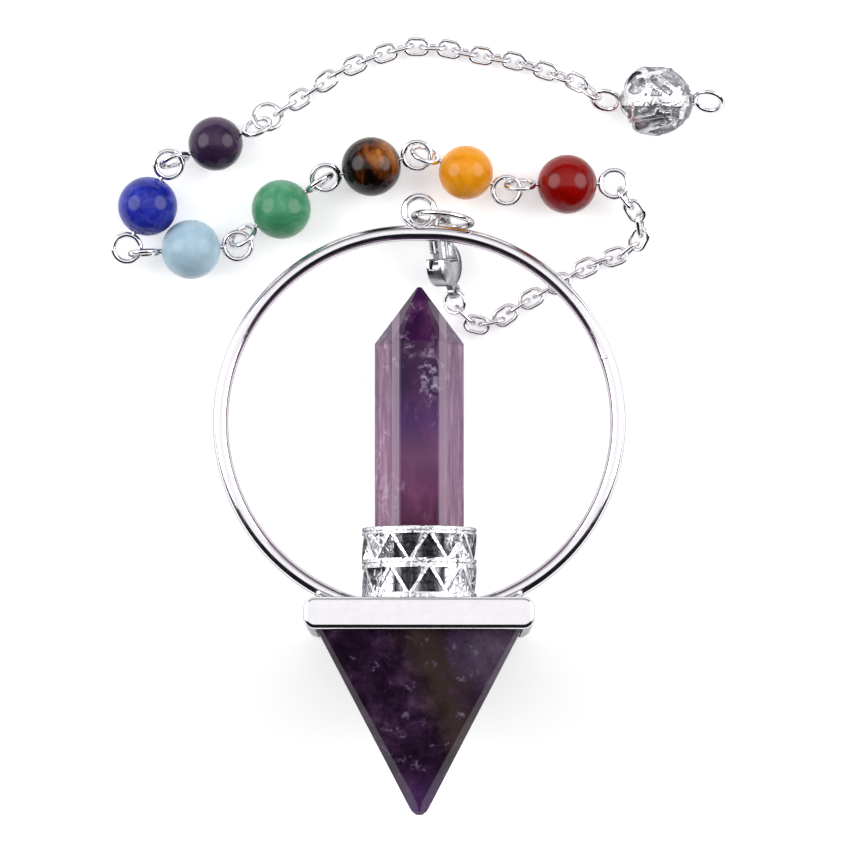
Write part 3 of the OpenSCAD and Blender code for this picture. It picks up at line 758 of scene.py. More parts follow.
def tidy_mesh(name: str, points: list, faces: list, along: Matrix | None = None) -> bpy.types.Mesh:
    """A mesh with its doubles merged and its faces outwards.

    Args:
        name: the mesh's name
        points: its points
        faces: its faces
        along: a turn for the finished mesh

    Returns:
        The mesh.
    """
    mesh = bpy.data.meshes.new(name)
    mesh.from_pydata(points, [], faces)
    shape = bmesh.new()
    shape.from_mesh(mesh)
    bmesh.ops.remove_doubles(shape, verts=shape.verts, dist=1e-5)
    bmesh.ops.recalc_face_normals(shape, faces=shape.faces)
    shape.to_mesh(mesh)
    shape.free()
    if along is not None:
        mesh.transform(along)
    return mesh


def stack(layers: list[tuple[float, Outline]], name: str) -> bpy.types.Mesh:
    """A closed solid through a stack of outlines.

    Args:
        layers: each outline's height and points, which are as many in each
        name: the mesh's name

    Returns:
        The mesh.
    """
    count, last = len(layers[0][1]), len(layers) - 1
    points = [(x, y, z) for z, outline in layers for x, y in outline]
    faces = [
        (k * count + i, k * count + (i + 1) % count, (k + 1) * count + (i + 1) % count, (k + 1) * count + i)
        for k in range(last) for i in range(count)
    ]
    faces += [tuple(reversed(range(count))), tuple(last * count + i for i in range(count))]
    return tidy_mesh(name, points, faces)


def ring_path(centre: Vector, turn: Matrix, radius: float, steps: int) -> tuple[list[Vector], bool]:
    """The closed path of a round ring.

    Args:
        centre: its middle
        turn: how it is turned about its middle
        radius: the radius of the wire's middle line
        steps: points round the ring

    Returns:
        The points, and that they are closed.
    """
    ring = [
        centre + turn.to_3x3() @ Vector((radius * cos_d(360 * i / steps), radius * sin_d(360 * i / steps), 0))
        for i in range(steps)
    ]
    return ring, True


def oval_path(centre: Vector, turn: Matrix, bend_r: float, straight: float, steps: int) -> tuple[list[Vector], bool]:
    """The closed path of an oval with two half-round ends and straight sides.

    Args:
        centre: its middle
        turn: how it is turned about its middle
        bend_r: the radius of its ends, along the wire's middle line
        straight: the length of its straight sides
        steps: points round both ends together

    Returns:
        The points, and that they are closed.
    """
    oval = []
    for side in (1, -1):
        for i in range(steps // 2 + 1):
            angle = 180 * i / (steps // 2) - 90 + (0 if side == 1 else 180)
            oval.append(centre + turn.to_3x3() @ Vector((
                side * straight / 2 + bend_r * cos_d(angle), bend_r * sin_d(angle), 0)))
    return oval, True


def rounded(mesh: bpy.types.Mesh, width: float, segments: int, angle: float = 25,
            cutters: list[bpy.types.Mesh] | None = None) -> bpy.types.Mesh:
    """Cuts pockets into a mesh and rounds its sharp edges.

    Args:
        mesh: the mesh
        width: how far the rounding reaches from each edge
        segments: faces across the rounding
        angle: edges sharper than this many degrees are rounded
        cutters: what is cut out of it first

    Returns:
        The new mesh.
    """
    obj = stand("blank", mesh)
    tools = []
    for cutter in cutters or []:
        tool = stand("cutter", cutter)
        tools.append(tool)
        cut = obj.modifiers.new("cut", "BOOLEAN")
        cut.operation, cut.solver, cut.object = "DIFFERENCE", "EXACT", tool
    soft = obj.modifiers.new("rounding", "BEVEL")
    soft.width, soft.segments, soft.limit_method = width, segments, "ANGLE"
    soft.angle_limit, soft.miter_outer = math.radians(angle), "MITER_ARC"
    result = baked(obj)
    for tool in tools:
        bpy.data.objects.remove(tool)
    return result


def settle(name: str, mesh: bpy.types.Mesh, place: Matrix, material: bpy.types.Material,
           nodes: list[str], body: str = PENDANT, crease: float = 32, flats: bool = False) -> bpy.types.Object:
    """Sets a finished piece down in the shared frame, on the body that carries it.

    Args:
        name: the piece's name
        mesh: its mesh, in its own millimetres
        place: where it lies
        material: its finish
        nodes: the frame's nodes that it stands for
        body: the body that it rides on
        crease: edges sharper than this many degrees stay crisp
        flats: keep the shading of its flat faces level up to their rounded edges

    Returns:
        The piece.
    """
    mesh.shade_smooth()
    mesh.set_sharp_from_angle(angle=math.radians(crease))
    if flats:
        blank = stand(name + "_blank", mesh)
        level = blank.modifiers.new("level_flats", "WEIGHTED_NORMAL")
        level.mode, level.weight, level.keep_sharp = "FACE_AREA", 50, True
        mesh = baked(blank)
    mesh.name = name
    mesh.transform(place)
    mesh.materials.clear()
    mesh.materials.append(material)
    piece = stand(name, mesh)
    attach(piece, body)
    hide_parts(*nodes)
    log.info("%s: %d faces, in %s, on %s", name, len(mesh.polygons), material.name, body)
    return piece


def cast_copy(node: str, voxel_mm: float, rounds: int) -> bpy.types.Mesh:
    """A casting's smooth skin over a copy of a frame node, with its hard edges softened as in a mould.

    Args:
        node: the frame's node
        voxel_mm: the size of the skin's faces
        rounds: how many times the skin is relaxed

    Returns:
        The mesh, turned as in the shared frame but a thousand times larger, in millimetres.
    """
    shape = bmesh.new()
    shape.from_mesh(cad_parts[node].data)
    bmesh.ops.remove_doubles(shape, verts=shape.verts, dist=1e-7)
    # The skin is made a thousand times larger, because small faces lose their accuracy
    bmesh.ops.scale(shape, vec=(1 / MM, 1 / MM, 1 / MM), verts=shape.verts)
    mesh = bpy.data.meshes.new(node)
    shape.to_mesh(mesh)
    shape.free()
    obj = stand(node + "_copy", mesh)
    skin = obj.modifiers.new("skin", "REMESH")
    skin.mode, skin.voxel_size = "VOXEL", voxel_mm
    relax = obj.modifiers.new("relax", "SMOOTH")
    relax.factor, relax.iterations = 0.5, rounds
    return baked(obj)


# The pieces

@dataclass
class Mount:
    """The plate, collar, hoop and hanging loop, which are soldered to one piece."""

    plate_w: float = 22.4
    plate_t: float = 3.15
    plate_r: float = 1.1
    plate_edge_r: float = 0.5
    recess_depth: float = 2.3
    recess_edge_r: float = 0.08
    collar_d: float = 11.3
    collar_h: float = 7.2
    collar_rim: float = 0.55
    collar_edge_r: float = 0.18
    # How deep the collar's foot stands in the plate, and how far below its top the upper chased line runs
    collar_sink: float = 0.3
    top_line: float = 0.45
    bore_chamfer: float = 0.1
    triangle_depth: float = 0.35
    triangle_count: int = 9
    # A triangle's height in its row, and its width at the foot in steps from one triangle to the next
    triangle_h_share: float = 0.88
    triangle_w_share: float = 1.64
    stone_clearance: float = 0.12
    hoop_wire_d: float = 1.53
    hoop_bend_r: float = 18.75
    hoop_flat: float = 1.7
    hoop_reach: float = 38.0
    hoop_rest: float = 4.9
    hanging_bend_r: float = 1.5
    hanging_wire_d: float = 0.64
    hanging_sink: float = 0.1
    point_d: float = 9.3
    point_shoulder: float = 25.4
    point_tip: float = 5.65
    point_flat: float = 0.9
    pyramid_w: float = 19.8
    pyramid_h: float = 17.85
    pyramid_flat: float = 0.7
    pyramid_tip_flat: float = 1.5
    pyramid_seat: float = 0.25
    seam_angle: float = 20.0
    seam_half: float = 0.5
    seam_ridge: float = 0.09
    line_w: float = 0.2
    line_depth: float = 0.16

    @property
    def lean(self) -> float:
        """How far the mount leans back, with its plate's edge and the hoop's top at their heights.

        Returns:
            The lean in degrees.
        """
        corner_y = self.plate_w / 2 - self.plate_edge_r
        corner_z = self.hoop_reach - self.plate_t / 2 + self.plate_edge_r
        return math.degrees(
            math.acos((self.hoop_rest - self.plate_edge_r) / math.hypot(corner_y, corner_z))
            - math.atan2(corner_z, corner_y))

    @property
    def place(self) -> Matrix:
        """Where the mount's own frame lies, with the middle of the plate at its zero."""
        return set_down(
            0, -self.hoop_reach * cos_d(self.lean), self.hoop_rest + self.hoop_reach * sin_d(self.lean),
            turned(-90 - self.lean))

    @property
    def bore_r(self) -> float:
        """Radius of the collar's bore, round the point's ground corners."""
        corner = math.hypot(self.point_d / 2 - self.point_flat / math.sqrt(3) / 2, self.point_flat / 2)
        return corner + self.stone_clearance

    def plate(self) -> bpy.types.Mesh:
        """The rounded plate, with the recess that holds the pyramid.

        Returns:
            The mesh, in the mount's own frame.
        """
        half, steps = self.plate_w / 2, 8
        outline = []
        for i, (side, level) in enumerate(((1, 1), (-1, 1), (-1, -1), (1, -1))):
            for k in range(steps + 1):
                angle = 90 * i + 90 * k / steps
                outline.append((side * (half - self.plate_r) + self.plate_r * cos_d(angle),
                                level * (self.plate_t / 2 - self.plate_r) + self.plate_r * sin_d(angle)))
        mesh = stack([(-half, outline), (half, outline)], "plate")
        mesh.transform(turned(90))
        mesh = rounded(mesh, self.plate_edge_r, segments=6, angle=40)
        recess = bmesh.new()
        bmesh.ops.create_cube(recess, size=1.0)
        # The cutter reaches well out of the plate's lower face
        width, height = self.pyramid_w + 2 * self.stone_clearance, 5
        bmesh.ops.scale(recess, vec=(width, width, height), verts=recess.verts)
        bmesh.ops.translate(
            recess, vec=(0, 0, self.recess_depth - self.plate_t / 2 - height / 2), verts=recess.verts)
        cutter = bpy.data.meshes.new("recess")
        recess.to_mesh(cutter)
        recess.free()
        return rounded(mesh, self.recess_edge_r, segments=2, angle=40, cutters=[cutter])

    def pocket(self, height: float, width: float) -> bpy.types.Mesh:
        """One triangular pocket, as a wedge that stands out from the collar's wall.

        Args:
            height: the triangle's height
            width: its width at the foot

        Returns:
            The wedge, pointing up, on the side of +X.
        """
        beyond = 0.65
        near, far = self.collar_d / 2 - self.triangle_depth, self.collar_d / 2 + beyond
        corners = [(-width / 2, -height / 2), (width / 2, -height / 2), (0, height / 2)]
        points = [(near, y, z) for y, z in corners] + [(far, y, z) for y, z in corners]
        faces = [(0, 2, 1), (3, 4, 5), (0, 1, 4, 3), (1, 2, 5, 4), (2, 0, 3, 5)]
        return tidy_mesh("pocket", points, faces)

    def collar(self, seats: SeatTree) -> bpy.types.Mesh:
        """The collar, with its two rows of triangular pockets pointing up and down by turns.

        Args:
            seats: the tree that sets the pockets round the wall

        Returns:
            The mesh, in the mount's own frame.
        """
        foot, top = self.plate_t / 2 - self.collar_sink, self.plate_t / 2 + self.collar_h
        r, bore, soft = self.collar_d / 2, self.bore_r, self.collar_edge_r
        middle = self.plate_t / 2 + self.collar_h / 2
        wall = [(bore, foot), (r, foot)]
        for level in (middle, top - self.top_line):
            wall += [(r, level - self.line_w / 2), (r - self.line_depth, level - self.line_w / 4),
                     (r - self.line_depth, level + self.line_w / 4), (r, level + self.line_w / 2)]
        wall += [(r, top - soft)]
        wall += [(r - soft + soft * cos_d(a), top - soft + soft * sin_d(a)) for a in (30, 60, 90)]
        wall += [(bore + self.bore_chamfer, top), (bore, top - self.bore_chamfer)]
        row_h = (self.collar_h - 3 * self.collar_rim) / 2
        step = 180 / self.triangle_count
        width = self.triangle_w_share * math.pi * r * step / 180
        spots = []
        for row in (0, 1):
            level = self.plate_t / 2 + self.collar_rim + row_h / 2 + row * (row_h + self.collar_rim)
            for i in range(2 * self.triangle_count):
                over = 0 if i % 2 == 0 else math.pi
                spots.append((Vector((0, 0, level)), Euler((over, 0, math.radians((i + 0.5) * step - 90)))))
        pockets = seats.seat(spots, self.pocket(row_h * self.triangle_h_share, width))
        return rounded(lathe(wall, segments=144), width=0.05, segments=2, angle=28, cutters=[pockets])

    def hoop(self, wires: WireTree, metal: bpy.types.Material) -> bpy.types.Mesh:
        """The hoop's wire, bent to a near circle and soldered shut.

        Args:
            wires: the tree that sweeps the wire
            metal: its finish

        Returns:
            The mesh, in the mount's own frame.
        """
        centre = Vector((0, 0, self.hoop_reach - self.hoop_bend_r))
        path = oval_path(centre, turned(90), self.hoop_bend_r, self.hoop_flat, steps=240)
        return wires.sweep([path], self.hoop_wire_d, sides=32, material=metal)

    def seam(self, wires: WireTree, metal: bpy.types.Material) -> bpy.types.Mesh:
        """The thin ridge of solder where the hoop's wire was joined.

        Args:
            wires: the tree that sweeps the wire
            metal: its finish

        Returns:
            The mesh, in the mount's own frame.
        """
        centre = Vector((self.hoop_flat / 2, 0, self.hoop_reach - self.hoop_bend_r))
        half, steps = self.seam_half, 4
        angles = [self.seam_angle + half * (2 * i / steps - 1) for i in range(steps + 1)]
        ways = [centre + self.hoop_bend_r * Vector((cos_d(a), 0, sin_d(a))) for a in angles]
        ridge = wires.sweep([(ways, False)], self.hoop_wire_d + self.seam_ridge, sides=32, material=metal)
        return rounded(ridge, width=0.05, segments=2, angle=40)

    def hanging_loop(self, wires: WireTree, metal: bpy.types.Material) -> bpy.types.Mesh:
        """The small loop soldered on the hoop's top.

        Args:
            wires: the tree that sweeps the wire
            metal: its finish

        Returns:
            The mesh, in the mount's own frame.
        """
        top = self.hoop_reach + self.hoop_wire_d / 2 + self.hanging_bend_r - self.hanging_sink
        ring = ring_path(Vector((0, 0, top)), turned(90), self.hanging_bend_r, steps=96)
        return wires.sweep([ring], self.hanging_wire_d, sides=20, material=metal)

    def hexagon(self, r: float, flat: float) -> Outline:
        """Outline of a hexagon with a flat side toward -Y and its corners ground flat.

        Args:
            r: the radius of its corners before they were ground
            flat: the width of each ground corner

        Returns:
            Its twelve points, counterclockwise.
        """
        cut = flat / math.sqrt(3) / r
        outline = []
        for i in range(6):
            for step in (-1, 1):
                corner = (r * cos_d(60 * i), r * sin_d(60 * i))
                beyond = (r * cos_d(60 * (i + step)), r * sin_d(60 * (i + step)))
                outline.append(tuple(c + (n - c) * cut for c, n in zip(corner, beyond)))
        return outline

    def point_stone(self) -> bpy.types.Mesh:
        """The six-sided point, with its ground corners and blunt tip.

        Returns:
            The mesh, in the mount's own frame.
        """
        foot = self.plate_t / 2 + self.stone_clearance
        shoulder = self.plate_t / 2 + self.point_shoulder
        tip_share = 0.05
        body = self.hexagon(self.point_d / 2, self.point_flat)
        tip = self.hexagon(self.point_d / 2 * tip_share, self.point_flat * tip_share)
        layers = [(foot, body), (shoulder, body), (shoulder + self.point_tip, tip)]
        return rounded(stack(layers, "point"), width=0.07, segments=2, angle=12)

    def square(self, width: float, flat: float) -> Outline:
        """Outline of a square with its corners cut by flats.

        Args:
            width: the square's width
            flat: the width of each flat, which the square may limit

        Returns:
            Its eight points, counterclockwise.
        """
        h = width / 2
        c = min(flat / math.sqrt(2), h * 0.9)
        return [(h, c - h), (h, h - c), (h - c, h), (c - h, h), (-h, h - c), (-h, c - h), (c - h, -h), (h - c, -h)]

    def pyramid_stone(self) -> bpy.types.Mesh:
        """The four-sided pyramid, with flats along its edges and a blunt tip.

        Returns:
            The mesh, in the mount's own frame.
        """
        # Shares of the height from the plate to the tip, and of the width there
        levels = [(0, 1), (0.35, 0.67), (0.7, 0.34), (0.93, 0.125), (0.98, 0.075), (1, 0.03)]
        seat = self.plate_t / 2 - self.recess_depth + self.stone_clearance
        layers = [
            (seat, self.square(self.pyramid_w - 2 * self.pyramid_seat, self.pyramid_flat)),
            (seat + self.pyramid_seat, self.square(self.pyramid_w, self.pyramid_flat)),
        ]
        for down, share in levels:
            flat = self.pyramid_tip_flat + (self.pyramid_flat - self.pyramid_tip_flat) * share
            layers.append((self.plate_t / 2 + self.pyramid_h * down, self.square(self.pyramid_w * share, flat)))
        mesh = stack(layers, "pyramid")
        mesh.transform(turned(180))
        return rounded(mesh, width=0.06, segments=2, angle=12)

    def build(self, wires: WireTree, seats: SeatTree) -> None:
        """Makes the mount and the two large stones.

        Args:
            wires: the tree that sweeps the wires
            seats: the tree that sets the collar's pockets
        """
        metal = PlatedMetal("plated_brass").build()
        # The collar's pockets toward its sides are painted bright, as painted light
        relief = CastSilver(
            "cast_collar", ReliefFrom.AXIS, self.collar_d / 2 - self.triangle_depth, self.collar_d / 2,
            wash="#1f2023", thin_wash="#3a3b40", grain_mm=0.5, grain_depth_mm=0.008, tooled_mm=0.8,
            tooled_depth_mm=0.04, painted_side_light=(2.35, 2.9)).build(self.place)
        wire = PlatedMetal("plated_hoop_wire", ripple_mm=2.4, ripple_depth_mm=0.01).build()
        settle("setting_plate", self.plate(), self.place, metal, ["setting"], flats=True)
        settle("setting_collar", self.collar(seats), self.place, relief, ["setting"], flats=True)
        settle("setting_hoop", self.hoop(wires, wire), self.place, wire, ["setting"])
        settle("setting_hoop_seam", self.seam(wires, wire), self.place, wire, ["setting"])
        settle("setting_hanging_loop", self.hanging_loop(wires, wire), self.place, wire, ["setting"])
        settle("point_stone", self.point_stone(), self.place, PointAmethyst().build(self.place),
               ["hex_point"], crease=24, flats=True)
        settle("pyramid_stone", self.pyramid_stone(), self.place, PyramidAmethyst().build(self.place),
               ["pyramid"], crease=24, flats=True)


@dataclass
class Clasp:
    """The lobster clasp: a lens-shaped body with a hook, a sprung lever on a rivet, and a tail eye."""

    clasp_d: float = 4.2
    clasp_rim_t: float = 1.7
    clasp_xy: tuple[float, float] = (2.45, -3.36)
    clasp_turn: float = 5.0
    clasp_roll: float = 60.0
    clasp_lift: float = 0.03
    tail_eye: tuple[float, float] = (1.5, -2.75)
    tail_bend_r: float = 1.1
    tail_wire_d: float = 0.4

    @property
    def clasp_z(self) -> float:
        """Height of the body's middle above the surface."""
        rim = self.clasp_rim_t / 2 * cos_d(self.clasp_roll)
        return self.clasp_d / 2 * sin_d(self.clasp_roll) + rim + self.clasp_lift

    def point(self, p: Vector) -> Vector:
        """A point given in the clasp's own frame, measured from the floor point under the hoop's top."""
        own = turned(0, self.clasp_roll, self.clasp_turn).to_3x3() @ p
        return own + Vector((*self.clasp_xy, self.clasp_z))

    @property
    def tail_place(self) -> Vector:
        """The middle of the ring in the tail eye."""
        level = Vector((sin_d(self.clasp_turn), -cos_d(self.clasp_turn), 0))
        return self.point(Vector((*self.tail_eye, 0))) + self.tail_bend_r * level

    @property
    def tail_turn(self) -> Matrix:
        """How the ring in the tail eye is turned."""
        return turned(0, 0, self.clasp_turn) @ turned(0, self.clasp_roll - 90)

    def build(self, wires: WireTree) -> None:
        """Makes the clasp's body and lever, and the ring in its tail eye.

        Args:
            wires: the tree that sweeps the wires
        """
        metal = PlatedMetal("plated_clasp", "#cfd0d4", "#a2a3a8", roughness=(0.16, 0.32), ripple_mm=0.5).build()
        wire = PlatedMetal("plated_ring_wire").build()
        settle("clasp_body_skin", cast_copy("clasp_body", voxel_mm=0.055, rounds=3), Matrix.Scale(MM, 4), metal,
               ["clasp_body"], crease=60)
        settle("clasp_lever_skin", cast_copy("clasp_lever", voxel_mm=0.04, rounds=2), Matrix.Scale(MM, 4), metal,
               ["clasp_lever"], LEVER, crease=60)
        ring = ring_path(Vector(), Matrix.Identity(4), self.tail_bend_r, steps=64)
        settle("tail_ring_wire", wires.sweep([ring], self.tail_wire_d, sides=16, material=wire),
               set_down(*self.tail_place, self.tail_turn), wire, ["tail_ring"])


@dataclass
class RoundRing:
    """A round wire ring."""

    node: str
    place: Spot
    tilt: float
    turn: float
    bend_r: float
    wire_d: float

    @property
    def normal(self) -> Vector:
        """The direction square to the ring."""
        return turned(self.tilt, 0, self.turn).to_3x3() @ Vector((0, 0, 1))

    def build(self, wires: WireTree, metal: bpy.types.Material) -> None:
        """Makes the ring."""
        ring = ring_path(Vector(), Matrix.Identity(4), self.bend_r, steps=96)
        settle(self.node + "_wire", wires.sweep([ring], self.wire_d, sides=20, material=metal),
               set_down(*self.place, turned(self.tilt, 0, self.turn)), metal, [self.node])


@dataclass
class EyePin:
    """A wire through a bead, with a loop at each end."""

    half: float
    roll_behind: float
    roll_ahead: float
    bend_r: float = 1.35
    wire_d: float = 0.52
    gap: float = 0.1

    @property
    def reach(self) -> float:
        """Distance from the bead's middle to the middle of each loop."""
        return self.half + self.gap + self.bend_r + self.wire_d / 2

    def mesh(self, wires: WireTree, metal: bpy.types.Material) -> bpy.types.Mesh:
        """The pin along X.

        Args:
            wires: the tree that sweeps the wire
            metal: its finish

        Returns:
            The mesh, with the bead's middle at its zero.
        """
        straight = self.reach - self.bend_r
        shank = [Vector((straight * (i / 4 - 1), 0, 0)) for i in range(9)]
        return wires.sweep([
            (shank, False),
            ring_path(Vector((-self.reach, 0, 0)), turned(self.roll_behind), self.bend_r, steps=72),
            ring_path(Vector((self.reach, 0, 0)), turned(self.roll_ahead), self.bend_r, steps=72),
        ], self.wire_d, sides=20, material=metal)


@dataclass
class Bead:
    """A drilled stone bead on its eye pin."""

    name: str
    diameter: float
    xy: tuple[float, float]
    heading: float
    roll_behind: float
    roll_ahead: float
    stone: TumbledStone | TigersEye
    slot: str
    pin_clearance: float = 0.12
    # How far the chamfer reaches over the stone from the hole's mouth, and into the hole
    chamfer_w: float = 0.06
    chamfer_h: float = 0.08

    @property
    def pin(self) -> EyePin:
        """The pin through the bead."""
        return EyePin(self.diameter / 2, self.roll_behind, self.roll_ahead)

    @property
    def place(self) -> Matrix:
        """Where the bead's own frame lies."""
        return set_down(*self.xy, self.diameter / 2, turned(0, 0, self.heading))

    def eye(self, side: int) -> Vector:
        """The middle of the pin's loop, ahead (1) or behind (-1)."""
        reach = side * self.pin.reach
        return Vector((self.xy[0] + reach * cos_d(self.heading), self.xy[1] + reach * sin_d(self.heading),
                       self.diameter / 2))

    def drilled(self) -> bpy.types.Mesh:
        """The round bead with its drilled hole along X, whose mouths are broken by a small chamfer.

        Returns:
            The mesh, with the bead's middle at its zero.
        """
        r, hole = self.diameter / 2, self.pin.wire_d / 2 + self.pin_clearance
        low = math.degrees(math.asin((hole + self.chamfer_w) / r))
        steps = 48
        outline = [(hole, -r * cos_d(low) + self.chamfer_h)]
        for i in range(steps + 1):
            angle = low + (180 - 2 * low) * i / steps
            outline.append((r * sin_d(angle), -r * cos_d(angle)))
        outline.append((hole, r * cos_d(low) - self.chamfer_h))
        return lathe(outline, segments=96, along=turned(0, 90))

    def build(self, wires: WireTree, metal: bpy.types.Material) -> None:
        """Makes the bead and its pin."""
        settle("stone_" + self.name, self.drilled(), self.place, self.stone.build(self.place),
               ["bead_" + self.name], crease=40)
        settle("eye_pin_" + self.name, self.pin.mesh(wires, metal), self.place, metal,
               ["pin_" + self.name], crease=60)


@dataclass
class CastBall:
    """The cast ball at the chain's end, with its raised bars, on an eye pin of its own."""

    ball_d: float = 7.36
    ball_flat: float = 7.0
    relief: float = 0.3
    xy: tuple[float, float] = (23.52, 13.04)
    slope: float = 15.0
    roll: float = 45.0

    @property
    def pin(self) -> EyePin:
        """The pin through the ball."""
        return EyePin(self.ball_flat / 2, self.roll, self.roll)

    @property
    def place(self) -> Matrix:
        """Where the ball's own frame lies."""
        return set_down(*self.xy, self.ball_d / 2, turned(0, -self.slope))

    def eye(self, side: int) -> Vector:
        """The middle of the pin's loop, outward (1) or toward the chain (-1)."""
        reach = side * self.pin.reach
        return Vector((self.xy[0] + reach * cos_d(self.slope), self.xy[1],
                       self.ball_d / 2 + reach * sin_d(self.slope)))

    @property
    def eye_normal(self) -> Vector:
        """The direction square to the pin's loops."""
        return (turned(0, -self.slope) @ turned(self.roll)).to_3x3() @ Vector((0, 0, 1))

    def build(self, wires: WireTree, metal: bpy.types.Material) -> None:
        """Makes the ball and its pin.

        Args:
            wires: the tree that sweeps the pin
            metal: the pin's finish
        """
        cast = CastSilver("cast_ball", ReliefFrom.MIDDLE, self.ball_d / 2 - self.relief, self.ball_d / 2,
                          tone="#f0eff2", wash="#87888d", thin_wash="#cfd0d4", roughness=(0.3, 0.5))
        settle("ball_casting", cast_copy("ball", voxel_mm=0.07, rounds=2), Matrix.Scale(MM, 4),
               cast.build(self.place), ["ball"], crease=70)
        settle("ball_eye_pin", self.pin.mesh(wires, metal), self.place, metal, ["ball_pin"],
               crease=60)


@dataclass
class Anchor:
    """A ring or loop that a chain's end link hangs from."""

    middle: Vector
    normal: Vector
    bend_r: float
    wire_d: float


@dataclass
class Chain:
    """A run of oval links, upright and flat by turns, between two rings."""

    node: str
    route: list[tuple[float, float]]
    leans: tuple[float, float]
    first: Anchor
    last: Anchor
    link_l: float = 2.8
    link_w: float = 2.0
    link_wire_d: float = 0.42
    link_pitch: float = 1.7
    link_play: float = 0.2
    link_lift: float = 0.05
    climb: float = 0.3

    @property
    def link_rest(self) -> float:
        """Height of a link's middle above the surface."""
        return self.link_w / 2 + self.link_lift

    def hang(self, ring: Anchor, toward: Vector) -> Vector:
        """The point of a ring's wire that lies furthest toward a point of the route.

        Args:
            ring: the ring
            toward: the route's point

        Returns:
            The point on the wire's middle line.
        """
        level = Vector((toward.x - ring.middle.x, toward.y - ring.middle.y, 0)).normalized()
        lying = level - level.dot(ring.normal) * ring.normal
        return ring.middle + lying.normalized() * ring.bend_r

    def held(self, ring: Anchor) -> float:
        """Distance from a ring's wire to the middle of the link that hangs from it."""
        return self.link_l / 2 - self.link_wire_d - ring.wire_d / 2 - self.link_play

    def end_point(self, ring: Anchor, toward: Vector) -> Vector:
        """The middle of the chain's end link, seen from above."""
        wire = self.hang(ring, toward).to_2d()
        return wire + (toward - wire).normalized() * self.held(ring)

    def at_length(self, path: list[Vector], length: float) -> Vector:
        """The point at a length along the path, also a little before its start or past its end.

        Args:
            path: the path's points
            length: the way to go from its start

        Returns:
            The point.
        """
        i = 1
        while length > (path[i] - path[i - 1]).length and i < len(path) - 1:
            length -= (path[i] - path[i - 1]).length
            i += 1
        return path[i - 1] + (path[i] - path[i - 1]) * length / (path[i] - path[i - 1]).length

    def seats(self) -> list[tuple[Vector, Euler]]:
        """Where the links lie.

        Returns:
            Each link's place and turn.
        """
        route = [Vector(p) for p in self.route]
        path = [self.end_point(self.first, route[0])] + route + [self.end_point(self.last, route[-1])]
        run = sum((b - a).length for a, b in zip(path, path[1:]))
        count = 2 * math.ceil(run / self.link_pitch / 2) + 1
        pitch = run / (count - 1)
        z_first = self.hang(self.first, route[0]).z - self.held(self.first) * self.climb
        z_last = self.hang(self.last, route[-1]).z - self.held(self.last) * self.climb

        def spot(share: float) -> Vector:
            """The chain's middle line.

            Args:
                share: the way to go from its start, in links

            Returns:
                The point there.
            """
            length = share * pitch
            p = self.at_length(path, length)
            return Vector((p.x, p.y, max(
                self.link_rest, z_first - length * self.climb, z_last - (run - length) * self.climb)))

        links = []
        for i in range(count):
            way = spot(i + 0.5) - spot(i - 0.5)
            lean = self.leans[0] + (self.leans[1] - self.leans[0]) * i / (count - 1)
            links.append((spot(i), Euler((
                math.radians(lean + (90 if i % 2 == 0 else 0)),
                -math.atan2(way.z, way.to_2d().length), math.atan2(way.y, way.x)))))
        return links

    def build(self, wires: WireTree, seats: SeatTree, metal: bpy.types.Material) -> None:
        """Makes the chain.

        Args:
            wires: the tree that sweeps the links
            seats: the tree that sets them along the route
            metal: their finish
        """
        path = oval_path(Vector(), Matrix.Identity(4), (self.link_w - self.link_wire_d) / 2,
                         self.link_l - self.link_w, steps=28)
        link = wires.sweep([path], self.link_wire_d, sides=14, material=metal)
        settle(self.node + "_links", seats.seat(self.seats(), link, metal), FRAME, metal,
               [self.node], crease=60)


